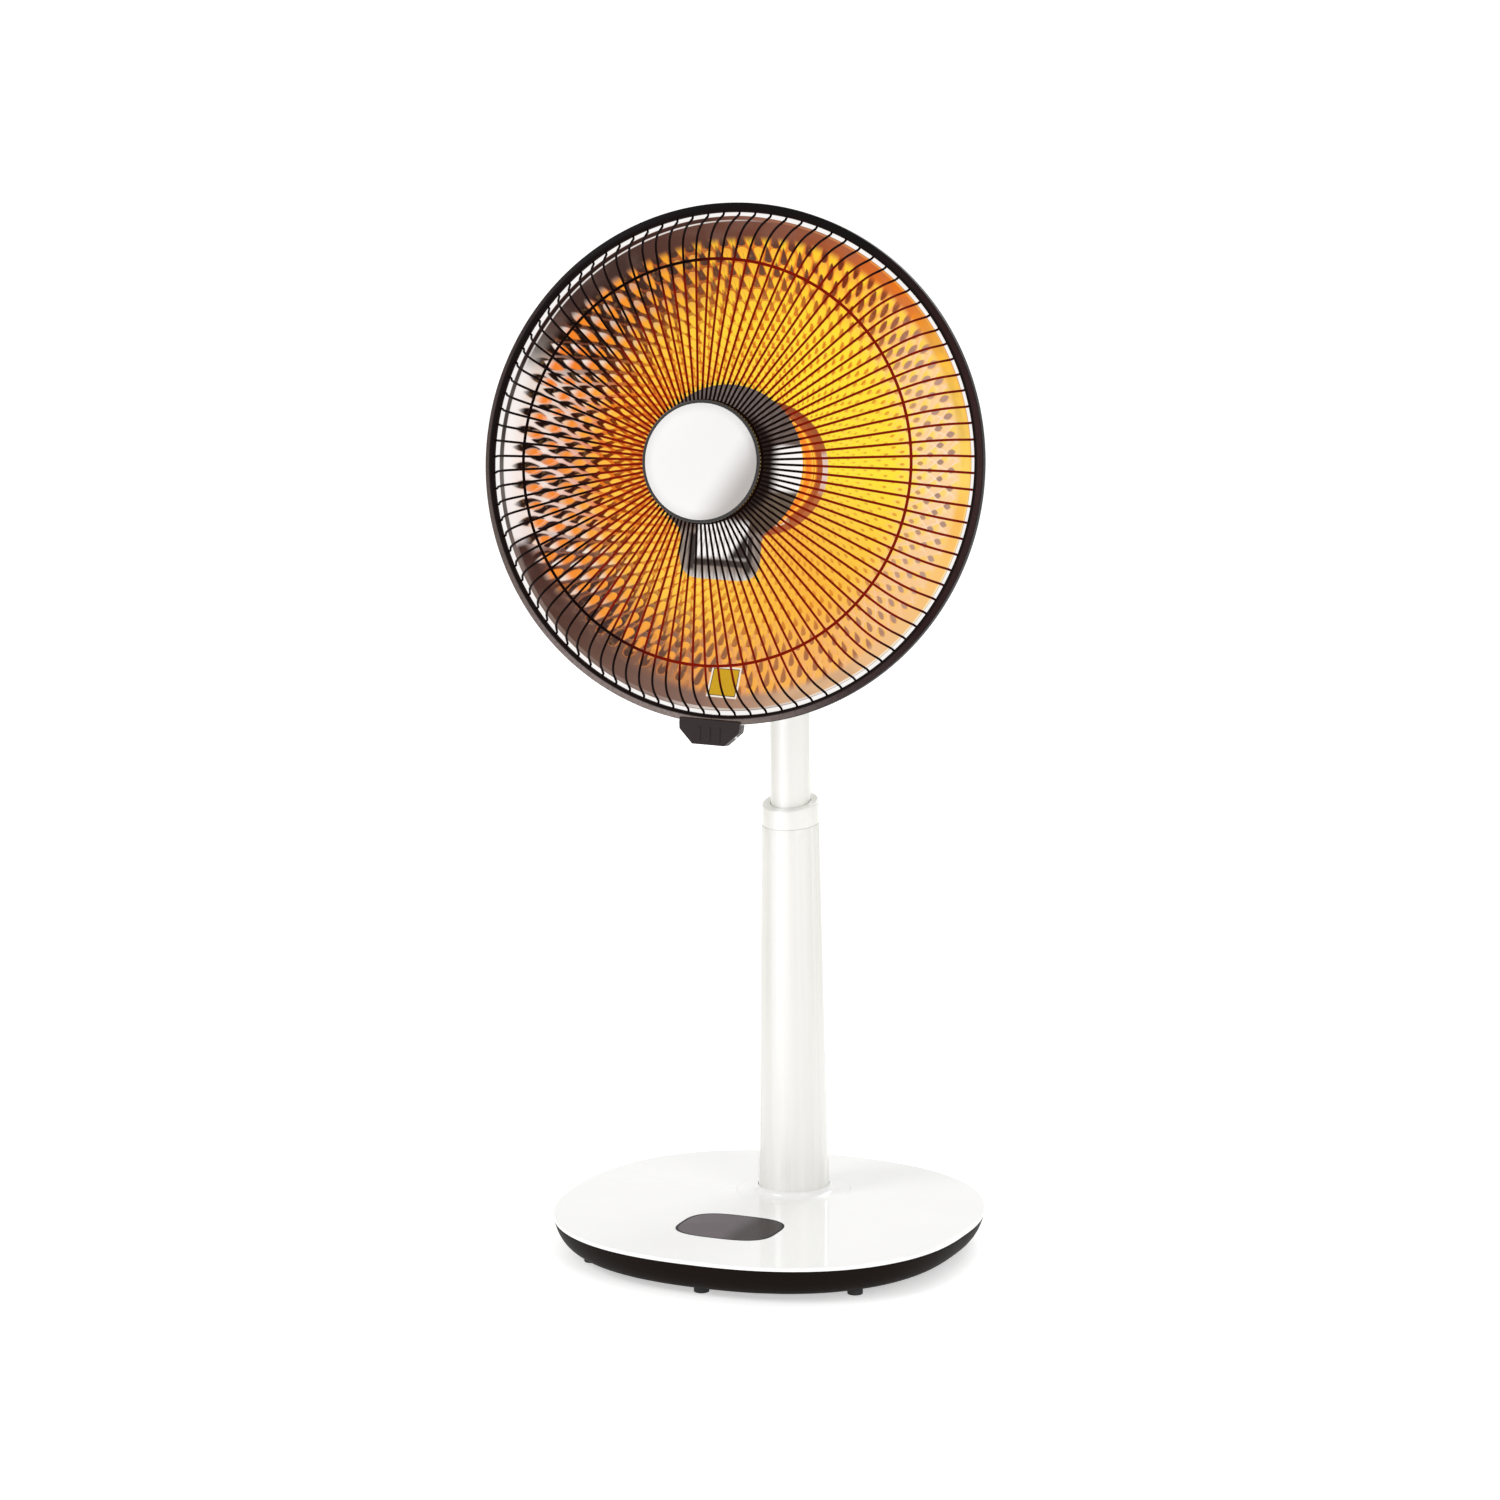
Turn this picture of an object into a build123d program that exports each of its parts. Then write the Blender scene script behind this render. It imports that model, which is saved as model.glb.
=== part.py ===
"""A free-standing parabolic heater: weighted base, telescopic column, swinging and
tilting neck, faceted reflector with a ring lamp, and a domed guard of 96 wires.

Millimetres and degrees. +Z is up, the front is -Y, and the origin is on the floor
under the middle of the base.
"""
from build123d import *
import math
import os

os.makedirs("parts", exist_ok=True)

# Posture of the head
rest_swing = 6.2
rest_tilt = 6.7
head_roll = 2.7

# Fits
slide_gap = 0.3
part_gap = 0.15
overrun = 2.0

# Base: outlines are rounded squares, |x/a|^n + |y/b|^n = 1
base_half_width = 174.5
base_half_depth = 161.4
pan_draw_x = 17.5
pan_draw_y = 12.9
pan_half_width = base_half_width - pan_draw_x
pan_half_depth = base_half_depth - pan_draw_y
base_roundness = 2.32
outline_points = 24
base_top = 31.4
cover_thickness = 3.2
cover_edge_round = 1.1
pan_floor = 5.7
pan_wall = 2.6
cover_lip_height = 4.0
cover_lip_wall = 2.0
cover_lip_gap = 1.8
pan_profile_shares = [(0.0, 0.0), (0.14, 0.36), (0.42, 0.7), (0.76, 0.91), (1.0, 1.0)]

# Feet and what is screwed up into the pan
foot_radius = 6.2
foot_inset_x = 42.0
foot_inset_y = 49.0
foot_inset_front = 10.0
foot_spread_x = pan_half_width - foot_inset_x
foot_spread_y = pan_half_depth - foot_inset_y
foot_front = pan_half_depth - foot_inset_front
centre_pad_radius = 8.0
foot_dimple_radius = 2.6
foot_dimple_depth = 1.8
cover_screw_radius = 3.2
cover_screw_head = 1.6
cover_screw_shank = 1.6
cover_screw_top = 25.0
cover_boss_radius = 5.0
cover_boss_split = 17.0
cover_boss_inset = 36.5
cover_boss_x = base_half_width - cover_boss_inset
cover_boss_y = 52.0

# Display window in the top cover
window_x = -6.5
window_y = -66.5
window_half_width = 42.3
window_half_depth = 32.6
window_roundness = 3.14
window_thickness = 2.0
window_ledge = 2.4
board_half_width = 34.0
board_half_depth = 24.0
board_thickness = 1.6
board_drop = 5.0
board_post_radius = 3.0
module_half_width = 22.0
module_half_depth = 12.0

# Ballast plate and tip-over switch
ballast_half_width = 32.0
ballast_half_depth = 60.0
ballast_thickness = 9.0
ballast_inset = 86.5
ballast_x = base_half_width - ballast_inset
ballast_y = 30.0
ballast_corner = 14.0
switch_x = -78.0
switch_y = -92.0
switch_width = 16.0
switch_depth = 12.0
switch_height = 15.0
switch_wall = 2.0
plunger_radius = 3.0
plunger_collar_radius = 4.4
plunger_collar_height = 1.6
plunger_travel = 3.5
plunger_lift = 0.4

# Cord grommet in the rear wall of the pan
grommet_height = 15.0
grommet_radius = 5.2
grommet_flange_radius = 6.8
grommet_bore = 3.2
grommet_flange = 2.0
grommet_boss_radius = 8.8
grommet_boss_length = 13.0
grommet_inset = 6.4
grommet_seat = base_half_depth - grommet_inset

# Column, its foot and its collar
pole_setback = 52.8
column_foot_radius = 29.8
column_top_radius = 23.9
column_wall = 2.4
column_flange_radius = 43.0
column_flange = 4.0
column_screw_circle = 36.0
column_screw_count = 4
column_screw_radius = 2.0
column_screw_head_radius = 4.0
column_screw_head = 2.4
foot_cover_radius = 47.6
foot_cover_thickness = 2.4
foot_flare_radius = 34.5
foot_flare_height = 5.5
foot_flare_share = 0.3
seam_height = 343.6
seam_slope = 7.0
collar_rise = 17.8
collar_height = seam_height + collar_rise
collar_slope = 12.0
collar_top_radius = 23.3
collar_round = 1.6
spigot_height = 9.0
spigot_wall = 1.5
spigot_root = 4.0
bush_length = 46.0
tongue_rise = 42.4
tongue_height = seam_height + tongue_rise
tongue_half_width = 9.5
tongue_radius = 24.4
tongue_round = 2.5
button_rise = 28.4
button_height = seam_height + button_rise
button_radius = 5.0
button_length = 5.6
button_stand = 1.6
button_travel = 2.2
button_flange = 0.9
button_cap = 3.0

# Telescopic tube and the neck on it
tube_radius = 16.5
tube_wall = 1.6
tube_foot = 96.0
tube_top = 562.0
stop_ring_height = 10.0
stop_ring_radius = 21.2
stop_ring_gap = 0.6
slide_down = 80.0
slide_up = 100.0
neck_foot = 524.0
neck_shoulder = 548.0
neck_top = 596.0
neck_radius = 27.0
neck_wall = 2.3
neck_round = 6.0
neck_floor = 3.0
neck_socket_wall = 3.2
neck_seat = 1.6
neck_cap_height = 6.0
neck_wire_hole = 8.0
motor_radius = 21.5
motor_height = 20.0
motor_nose_radius = 7.0
motor_nose = 3.0
motor_screw_circle = 15.5
motor_screw_radius = 2.6
motor_screw_head = 1.8
motor_screw_count = 3
motor_screw_shank = 1.3
motor_screw_length = 9.0
swing_shaft_radius = 4.0
yoke_base = 7.0
yoke_base_radius = 22.0
yoke_lift = 1.0
yoke_shaft_sink = 5.0
tilt_height = 630.0
tilt_pin_radius = 3.5
pin_running_gap = 0.06
tilt_pin_head_radius = 6.0
tilt_pin_head = 2.5
tongue_half_thickness = 8.5
cheek_gap = 0.5
cheek_thickness = 5.0
cheek_half_depth = 13.0
cheek_round = 3.0
arm_radius = 12.0

# Head: z is counted forwards from the plane of the hoop, along the head's axis
head_reach = 157.6
head_height = 651.45
hoop_radius = 200.0
hoop_section = 7.0
hoop_inner_radius = hoop_radius - hoop_section
hoop_wall = 1.6
hoop_back = -7.0
hoop_front = 2.7
flange_face = -4.4
flange_margin = 3.4
flange_width = 8.6
flange_radius = hoop_radius - flange_margin
flange_inner_radius = flange_radius - flange_width
bead_step = 1.6
bead_width = 1.6
sheet = 1.0

# Reflector: a paraboloid pressed into rows of folded diamonds
bowl_depth = 86.0
dish_lip_radius = 48.2
focal_length = (flange_inner_radius ** 2 - dish_lip_radius ** 2) / (4 * bowl_depth)
facet_columns = 77
facet_rows = 18
smooth_band = 12.0
facet_outer_radius = flange_inner_radius - smooth_band
facet_inner_radius = 53.0
facet_relief_share = 0.15
dish_backing = 3.6
dish_foot_radius = 49.5
dish_foot = -93.5
dish_back_shares = [0.0, 0.3, 0.6, 0.85, 1.0]
band_shares = [0.0, 0.5]

# Hub plate, lamp and shield
hub_radius = 50.3
hub_thickness = 1.6
lamp_level = -70.0
lamp_radius = 40.5
lamp_pitch = 6.7
lamp_tube_radius = 3.1
lamp_bore_radius = 2.3
filament_radius = 1.5
lamp_gap_angle = 24.0
lamp_bend = 6.0
lamp_sides = 8
lamp_bore_sides = 6
lamp_steps = 24
cap_height = 9.0
cap_half_width = 4.8
cap_half_length = 7.2
cap_tail = 3.0
cap_tail_half_width = 3.4
cap_tail_half_length = 5.5
post_circle = 24.0
post_count = 3
post_radius = 2.5
post_nut_radius = 4.6
post_nut_height = 3.0
shield_front = 9.0
shield_radius = 61.0
shield_sheet = 0.9
shield_tab_half_width = 32.5
shield_tab_end = 88.5
shield_tab_corner = 15.0
shield_neck_round = 12.0
shield_border = 8.5
shield_dish = 5.0
shield_dish_slope = 35.0

# Guard
wire_count = 96
wire_phase_share = 0.45
wire_radius = 1.05
wire_sides = 5
ring_wire_radius = 1.6
ring_wire_inset = 4.4
ring_wire_circle = hoop_radius - ring_wire_inset
guard_height = 67.6
wire_profile_shares = [(0.985, -0.003), (0.957, -0.003), (0.91, 0.333), (0.855, 0.527), (0.765, 0.621), (0.21, 1.0)]
mid_ring_share = 0.7695
mid_ring_radius = hoop_radius * mid_ring_share
mid_wire_radius = 1.1
centre_plate_radius = 47.0
centre_plate_thickness = 1.6
centre_stem_radius = 12.0
carrier_radius = 46.2
carrier_wall = 2.0
carrier_rim = 1.5
badge_radius = 43.9
badge_edge = 2.0
badge_dome = 2.6
badge_back = 71.8

# Clip under the hoop
latch_top_half_width = 24.5
latch_waist_half_width = 24.0
latch_foot_half_width = 13.0
latch_waist_drop = 5.0
latch_drop = 16.0
latch_waist = hoop_radius + latch_waist_drop
latch_foot = hoop_radius + latch_drop
latch_back = -6.5
latch_front = 6.4
latch_hook = 4.0
latch_hook_wall = 2.2
latch_clearance = 0.5
latch_rib_count = 3
latch_rib_pitch = 8.0
latch_rib_width = 2.4
latch_rib_proud = 0.8
latch_pin_drop = 5.5
latch_pin_circle = hoop_radius + latch_pin_drop
latch_pin_level = -11.2
latch_pin_radius = 1.5
latch_knuckle_radius = 3.0
latch_knuckle_half_width = 14.0
latch_ear_half_width = 19.0
latch_ear_root = 2.8
latch_screw_radius = 1.8
latch_screw_end = 21.0
latch_screw_length = 12.0
latch_screw_drop = 8.0
latch_screw_circle = hoop_radius + latch_screw_drop
latch_screw_level = 1.0
latch_round = 1.5
hoop_split = 3.0

# Rear cover and the bracket that carries the head
cover_wall = 2.2
cover_depth = 112.0
cover_profile_shares = [(0.984, 0.0625), (0.955, 0.214), (0.84, 0.446), (0.64, 0.732), (0.43, 0.946), (0.3, 1.0)]
vent_count = 24
vent_inner_radius = 92.0
vent_outer_radius = 132.0
vent_width = 5.0
vent_depth = 40.0
boss_radius = 6.0
reflector_screw_radius = 1.6
reflector_screw_head_radius = 3.6
reflector_screw_head = 2.0
reflector_screw_circle = 36.0
reflector_screw_count = 3
reflector_screw_length = 8.0
terminal_half_width = 24.0
terminal_half_depth = 8.0
terminal_height = 9.0
bracket_radius = 33.0
bracket_thickness = 5.0
bracket_screw_circle = 26.0
bracket_screw_count = 4
bracket_screw_radius = 2.2
bracket_screw_head_radius = 4.2
bracket_screw_head = 2.6
bracket_boss_radius = 5.0
bracket_boss_height = 4.6
bracket_root = 22.0

# Frames of the neck and of the head
swing_angle = math.radians(rest_swing)
tilt_angle = math.radians(rest_tilt)
roll_angle = math.radians(head_roll)
swing_right = Vector(math.cos(swing_angle), math.sin(swing_angle), 0)
swing_front = Vector(math.sin(swing_angle), -math.cos(swing_angle), 0)
head_axis = swing_front * math.cos(tilt_angle) + Vector(0, 0, math.sin(tilt_angle))
head_up = Vector(0, 0, math.cos(tilt_angle)) - swing_front * math.sin(tilt_angle)
head_right = swing_right * math.cos(roll_angle) - head_up * math.sin(roll_angle)
pole_foot = Vector(0, pole_setback, 0)
ring_centre = pole_foot + swing_front * head_reach + Vector(0, 0, head_height)
tilt_centre = pole_foot + Vector(0, 0, tilt_height)
pole_axis = Axis((0, pole_setback, 0), (0, 0, 1))
head_line = Axis(ring_centre, head_axis)
pole_section = Plane(origin=pole_foot, x_dir=(1, 0, 0), z_dir=(0, -1, 0))
head_section = Plane(origin=ring_centre, x_dir=head_right, z_dir=head_right.cross(head_axis))


def pole_plane(height):
    """Level plane on the column's axis."""
    return Plane(origin=pole_foot + Vector(0, 0, height), x_dir=(1, 0, 0), z_dir=(0, 0, 1))


def swing_plane(height):
    """Level plane on the column's axis, turned with the head."""
    return Plane(origin=pole_foot + Vector(0, 0, height), x_dir=swing_right, z_dir=(0, 0, 1))


def head_plane(level):
    """Plane across the head's axis, facing forwards."""
    return Plane(origin=ring_centre + head_axis * level, x_dir=head_right, z_dir=head_axis)


def rounded_outline(half_width, half_depth, roundness, centre_x=0, centre_y=0):
    """Points of a rounded square, for a closed spline."""
    points = []
    for step in range(outline_points):
        angle = 2 * math.pi * step / outline_points
        across = math.copysign(abs(math.cos(angle)) ** (2 / roundness), math.cos(angle))
        along = math.copysign(abs(math.sin(angle)) ** (2 / roundness), math.sin(angle))
        points.append((centre_x + half_width * across, centre_y + half_depth * along))
    return points


def paraboloid(radius):
    """Depth of the reflector's middle surface at a radius."""
    rim = flange_face - bead_step
    return rim - (flange_inner_radius ** 2 - radius ** 2) / (4 * focal_length)


wire_line = [(radius * hoop_radius, level * guard_height) for radius, level in wire_profile_shares]


def guard_level(radius):
    """Level of the guard wires' centre line at a radius."""
    for (outer, outer_level), (inner, inner_level) in zip(wire_line, wire_line[1:]):
        if inner <= radius <= outer:
            return outer_level + (inner_level - outer_level) * (outer - radius) / (outer - inner)
    return wire_line[-1][1]


def ring_points(radius, level, sides, shift_share=0.0):
    """Corners of a regular polygon about the head's axis, in the head's own frame."""
    corners = []
    for step in range(sides):
        angle = 2 * math.pi * (step + shift_share) / sides
        corners.append(Vector(radius * math.cos(angle), radius * math.sin(angle), level))
    return corners


def polygon_face(corners):
    """Flat face with straight edges."""
    return Face(Wire.make_polygon(corners, close=True))


def ring_faces(first, second):
    """Flat four-sided faces between two rings with as many corners."""
    count = len(first)
    faces = []
    for step in range(count):
        after = (step + 1) % count
        faces.append(polygon_face([first[step], first[after], second[after], second[step]]))
    return faces


def mitred_rod(path, radius, sides, across):
    """Solid rod with a polygon section along straight runs, mitred where they meet."""
    directions = [(end - start).normalized() for start, end in zip(path, path[1:])]
    side = across.normalized()
    other = directions[0].cross(side).normalized()
    rings = []
    corners = []
    for step in range(sides):
        angle = 2 * math.pi * step / sides
        corners.append(path[0] + side * (radius * math.cos(angle)) + other * (radius * math.sin(angle)))
    rings.append(corners)
    for index in range(1, len(path)):
        heading = directions[index - 1]
        following = directions[min(index, len(directions) - 1)]
        normal = (heading + following).normalized()
        moved = []
        for corner in rings[-1]:
            travel = (path[index] - corner).dot(normal) / heading.dot(normal)
            moved.append(corner + heading * travel)
        rings.append(moved)
    faces = [polygon_face(rings[0]), polygon_face(rings[-1])]
    for first, second in zip(rings, rings[1:]):
        faces += ring_faces(first, second)
    return Solid(Shell(faces))


def inner_profile(outline, thickness):
    """Profile moved inwards by a wall thickness; its ends stay on their levels."""
    normals = []
    for (radius, level), (next_radius, next_level) in zip(outline, outline[1:]):
        length = math.hypot(next_radius - radius, next_level - level)
        normals.append(((next_level - level) / length, (radius - next_radius) / length))
    moved = [(outline[0][0] + thickness / normals[0][0], outline[0][1])]
    for (radius, level), first, second in zip(outline[1:], normals, normals[1:]):
        share = thickness / (1 + first[0] * second[0] + first[1] * second[1])
        moved.append((radius + share * (first[0] + second[0]), level + share * (first[1] + second[1])))
    moved.append((0, outline[-1][1] + thickness))
    return moved


# Base pan: shallow black bowl with bosses, posts and the cord hole
pan_rim = base_top - cover_thickness
pan_inside = pan_floor + pan_wall
grommet_plane = Plane(origin=(0, grommet_seat, grommet_height), x_dir=(-1, 0, 0), z_dir=(0, 1, 0))
board_top = pan_rim - board_drop
board_foot = board_top - board_thickness
foot_places = [(0, foot_front), (0, -foot_front)]
foot_places += [(side * foot_spread_x, end * foot_spread_y) for side in (1, -1) for end in (1, -1)]


def bowl_section(spread_share, inset):
    """Outline of the pan, from that of its floor to that of its rim."""
    width = pan_half_width + spread_share * (base_half_width - pan_half_width) - inset
    depth = pan_half_depth + spread_share * (base_half_depth - pan_half_depth) - inset
    return rounded_outline(width, depth, base_roundness)


with BuildPart() as base_pan:
    for rise_share, spread_share in pan_profile_shares:
        with BuildSketch(Plane.XY.offset(pan_floor + rise_share * (pan_rim - pan_floor))):
            with BuildLine():
                Spline(*bowl_section(spread_share, 0), periodic=True)
            make_face()
    loft()
    for rise_share, spread_share in pan_profile_shares:
        with BuildSketch(Plane.XY.offset(pan_inside + rise_share * (pan_rim - pan_inside))):
            with BuildLine():
                Spline(*bowl_section(spread_share, pan_wall), periodic=True)
            make_face()
    loft(mode=Mode.SUBTRACT)
    with BuildSketch(Plane.XY.offset(pan_inside)):
        with GridLocations(2 * cover_boss_x, 2 * cover_boss_y, 2, 2):
            Circle(cover_boss_radius)
    extrude(amount=cover_boss_split - pan_inside)
    with BuildSketch(Plane.XY.offset(pan_inside)):
        with Locations((window_x, window_y)):
            with GridLocations(2 * (board_half_width - 2 * board_post_radius), 0, 2, 1):
                Circle(board_post_radius)
    extrude(amount=board_foot - pan_inside)
    with BuildSketch(grommet_plane.offset(grommet_flange)):
        Circle(grommet_boss_radius)
    extrude(amount=-(grommet_boss_length + grommet_flange))
    with BuildSketch(grommet_plane):
        Circle(grommet_flange_radius + part_gap)
    extrude(amount=base_half_depth, mode=Mode.SUBTRACT)
    with BuildSketch(grommet_plane.offset(-grommet_boss_length)):
        Circle(grommet_radius + part_gap)
    extrude(amount=base_half_depth, mode=Mode.SUBTRACT)
    with BuildSketch(Plane.XY.offset(pan_floor)):
        with GridLocations(2 * cover_boss_x, 2 * cover_boss_y, 2, 2):
            Circle(cover_screw_radius + part_gap)
    extrude(amount=cover_screw_head + part_gap, mode=Mode.SUBTRACT)
    with BuildSketch(Plane.XY.offset(pan_floor)):
        with GridLocations(2 * cover_boss_x, 2 * cover_boss_y, 2, 2):
            Circle(cover_screw_shank + part_gap)
    extrude(amount=cover_boss_split - pan_floor, mode=Mode.SUBTRACT)
    with BuildSketch(Plane.XY.offset(pan_floor)):
        with Locations((switch_x, switch_y)):
            Circle(plunger_radius + slide_gap)
        with Locations((0, pole_setback)):
            with PolarLocations(column_screw_circle, column_screw_count):
                Circle(column_screw_radius + part_gap)
    extrude(amount=pan_wall, mode=Mode.SUBTRACT)
base_pan.part.label = "base_pan"
export_step(base_pan.part, "parts/base_pan.step")

# Rubber feet, each with the recess of its screw, and a plain pad in the middle
with BuildPart() as rubber_feet:
    with BuildSketch(Plane.XY):
        Circle(centre_pad_radius)
        with Locations(*foot_places):
            Circle(foot_radius)
    extrude(amount=pan_floor)
    with BuildSketch(Plane.XY):
        with Locations(*foot_places):
            Circle(foot_dimple_radius)
    extrude(amount=foot_dimple_depth, mode=Mode.SUBTRACT)
rubber_feet.part.label = "rubber_feet"
export_step(rubber_feet.part, "parts/rubber_feet.step")

# Screws that hold the top cover, sunk in the underside of the pan
with BuildPart() as cover_screws:
    with BuildSketch(Plane.XY.offset(pan_floor)):
        with GridLocations(2 * cover_boss_x, 2 * cover_boss_y, 2, 2):
            Circle(cover_screw_radius)
    extrude(amount=cover_screw_head)
    with BuildSketch(Plane.XY.offset(pan_floor)):
        with GridLocations(2 * cover_boss_x, 2 * cover_boss_y, 2, 2):
            Circle(cover_screw_shank)
    extrude(amount=cover_screw_top - pan_floor)
cover_screws.part.label = "cover_screws"
export_step(cover_screws.part, "parts/cover_screws.step")

# Ballast: a steel slab on each side of the column
with BuildPart() as ballast_plates:
    with BuildSketch(Plane.XY.offset(pan_inside)):
        with Locations((ballast_x, ballast_y), (-ballast_x, ballast_y)):
            RectangleRounded(2 * ballast_half_width, 2 * ballast_half_depth, ballast_corner)
    extrude(amount=ballast_thickness)
ballast_plates.part.label = "ballast_plates"
export_step(ballast_plates.part, "parts/ballast_plates.step")

# Tip-over switch: body over a hole in the pan, and its plunger
with BuildPart() as tip_switch_body:
    with BuildSketch(Plane.XY.offset(pan_inside)):
        with Locations((switch_x, switch_y)):
            Rectangle(switch_width, switch_depth)
    extrude(amount=switch_height)
    with BuildSketch(Plane.XY.offset(pan_inside)):
        with Locations((switch_x, switch_y)):
            Circle(plunger_collar_radius + slide_gap)
    extrude(amount=switch_height - switch_wall, mode=Mode.SUBTRACT)
tip_switch_body.part.label = "tip_switch_body"
export_step(tip_switch_body.part, "parts/tip_switch_body.step")

with BuildPart() as tip_switch_plunger:
    with BuildSketch(Plane.XY.offset(plunger_lift)):
        with Locations((switch_x, switch_y)):
            Circle(plunger_radius)
    extrude(amount=pan_inside + switch_height - switch_wall - plunger_lift - slide_gap)
    with BuildSketch(Plane.XY.offset(pan_inside + plunger_travel + plunger_collar_height)):
        with Locations((switch_x, switch_y)):
            Circle(plunger_collar_radius)
    extrude(amount=plunger_collar_height)
tip_switch_plunger.part.label = "tip_switch_plunger"
export_step(tip_switch_plunger.part, "parts/tip_switch_plunger.step")

# Rubber grommet that lines the cord hole
with BuildPart() as cord_grommet:
    with BuildSketch(grommet_plane):
        Circle(grommet_flange_radius)
    extrude(amount=grommet_flange)
    with BuildSketch(grommet_plane):
        Circle(grommet_radius)
    extrude(amount=-grommet_boss_length)
    with BuildSketch(grommet_plane.offset(-grommet_boss_length)):
        Circle(grommet_bore)
    extrude(amount=grommet_boss_length + grommet_flange, mode=Mode.SUBTRACT)
cord_grommet.part.label = "cord_grommet"
export_step(cord_grommet.part, "parts/cord_grommet.step")

# Top cover: white plate with a lip inside the pan and openings for the window and the foot cover
with BuildPart() as base_top_cover:
    with BuildSketch(Plane.XY.offset(pan_rim)):
        with BuildLine():
            Spline(*rounded_outline(base_half_width, base_half_depth, base_roundness), periodic=True)
        make_face()
    extrude(amount=cover_thickness)
    fillet(base_top_cover.edges().group_by(Axis.Z)[-1], cover_edge_round)
    lip_inset = pan_wall + cover_lip_gap
    with BuildSketch(Plane.XY.offset(pan_rim)):
        with BuildLine():
            lip_points = (base_half_width - lip_inset, base_half_depth - lip_inset, base_roundness)
            Spline(*rounded_outline(*lip_points), periodic=True)
        make_face()
        with BuildLine():
            lip_inner = lip_inset + cover_lip_wall
            lip_points = (base_half_width - lip_inner, base_half_depth - lip_inner, base_roundness)
            Spline(*rounded_outline(*lip_points), periodic=True)
        make_face(mode=Mode.SUBTRACT)
    extrude(amount=-cover_lip_height)
    with BuildSketch(Plane.XY.offset(pan_rim)):
        with GridLocations(2 * cover_boss_x, 2 * cover_boss_y, 2, 2):
            Circle(cover_boss_radius)
    extrude(amount=-(pan_rim - cover_boss_split))
    with BuildSketch(Plane.XY.offset(cover_boss_split)):
        with GridLocations(2 * cover_boss_x, 2 * cover_boss_y, 2, 2):
            Circle(cover_screw_shank + part_gap)
    extrude(amount=cover_screw_top + part_gap - cover_boss_split, mode=Mode.SUBTRACT)
    with BuildSketch(Plane.XY.offset(base_top - window_thickness)):
        with BuildLine():
            window_sizes = (window_half_width + part_gap, window_half_depth + part_gap, window_roundness)
            Spline(*rounded_outline(*window_sizes, window_x, window_y), periodic=True)
        make_face()
    extrude(amount=window_thickness, mode=Mode.SUBTRACT)
    with BuildSketch(Plane.XY.offset(pan_rim)):
        with BuildLine():
            window_sizes = (window_half_width - window_ledge, window_half_depth - window_ledge, window_roundness)
            Spline(*rounded_outline(*window_sizes, window_x, window_y), periodic=True)
        make_face()
    extrude(amount=cover_thickness, mode=Mode.SUBTRACT)
    with BuildSketch(pole_plane(base_top - foot_cover_thickness)):
        Circle(foot_cover_radius + part_gap)
    extrude(amount=foot_cover_thickness, mode=Mode.SUBTRACT)
    with BuildSketch(pole_plane(pan_rim)):
        Circle(foot_cover_radius - window_ledge)
    extrude(amount=cover_thickness, mode=Mode.SUBTRACT)
base_top_cover.part.label = "base_top_cover"
export_step(base_top_cover.part, "parts/base_top_cover.step")

# Display window, and the board with its display module underneath
with BuildPart() as display_window:
    with BuildSketch(Plane.XY.offset(base_top - window_thickness)):
        with BuildLine():
            window_sizes = (window_half_width, window_half_depth, window_roundness)
            Spline(*rounded_outline(*window_sizes, window_x, window_y), periodic=True)
        make_face()
    extrude(amount=window_thickness)
display_window.part.label = "display_window"
export_step(display_window.part, "parts/display_window.step")

with BuildPart() as control_board:
    with BuildSketch(Plane.XY.offset(board_foot)):
        with Locations((window_x, window_y)):
            Rectangle(2 * board_half_width, 2 * board_half_depth)
    extrude(amount=board_thickness)
control_board.part.label = "control_board"
export_step(control_board.part, "parts/control_board.step")

with BuildPart() as display_module:
    with BuildSketch(Plane.XY.offset(board_top)):
        with Locations((window_x, window_y)):
            Rectangle(2 * module_half_width, 2 * module_half_depth)
    extrude(amount=base_top - window_thickness - board_top)
display_module.part.label = "display_module"
export_step(display_module.part, "parts/display_module.step")

# Column: tapered, on a flange in the pan, with a spigot that enters the collar
flange_top = pan_inside + column_flange
taper_foot = base_top + foot_flare_height
collar_bore = column_top_radius - column_wall
spigot_radius = collar_bore - part_gap
spigot_bore = spigot_radius - spigot_wall
spigot_top = seam_height + spigot_height
seam_plane = pole_plane(seam_height).rotated((seam_slope, 0, 0))
with BuildPart() as column:
    with BuildSketch(pole_section):
        with BuildLine():
            Polyline(
                (column_foot_radius - column_wall, pan_inside),
                (column_flange_radius, pan_inside),
                (column_flange_radius, flange_top),
                (column_foot_radius, flange_top),
                (column_foot_radius, taper_foot),
                (column_top_radius, spigot_top),
                (collar_bore, spigot_top),
                (column_foot_radius - column_wall, taper_foot),
                close=True,
            )
        make_face()
    revolve(axis=pole_axis)
    split(bisect_by=seam_plane, keep=Keep.BOTTOM)
    with BuildSketch(pole_section):
        with BuildLine():
            Polyline(
                (spigot_bore, seam_height - 2 * spigot_root),
                (collar_bore + spigot_wall, seam_height - 2 * spigot_root),
                (collar_bore + spigot_wall, seam_height - spigot_root),
                (spigot_radius, seam_height - spigot_root),
                (spigot_radius, spigot_top),
                (spigot_bore, spigot_top),
                close=True,
            )
        make_face()
    revolve(axis=pole_axis)
    with BuildSketch(pole_plane(pan_inside)):
        with PolarLocations(column_screw_circle, column_screw_count):
            Circle(column_screw_radius + part_gap)
    extrude(amount=column_flange, mode=Mode.SUBTRACT)
column.part.label = "column"
export_step(column.part, "parts/column.step")

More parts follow.
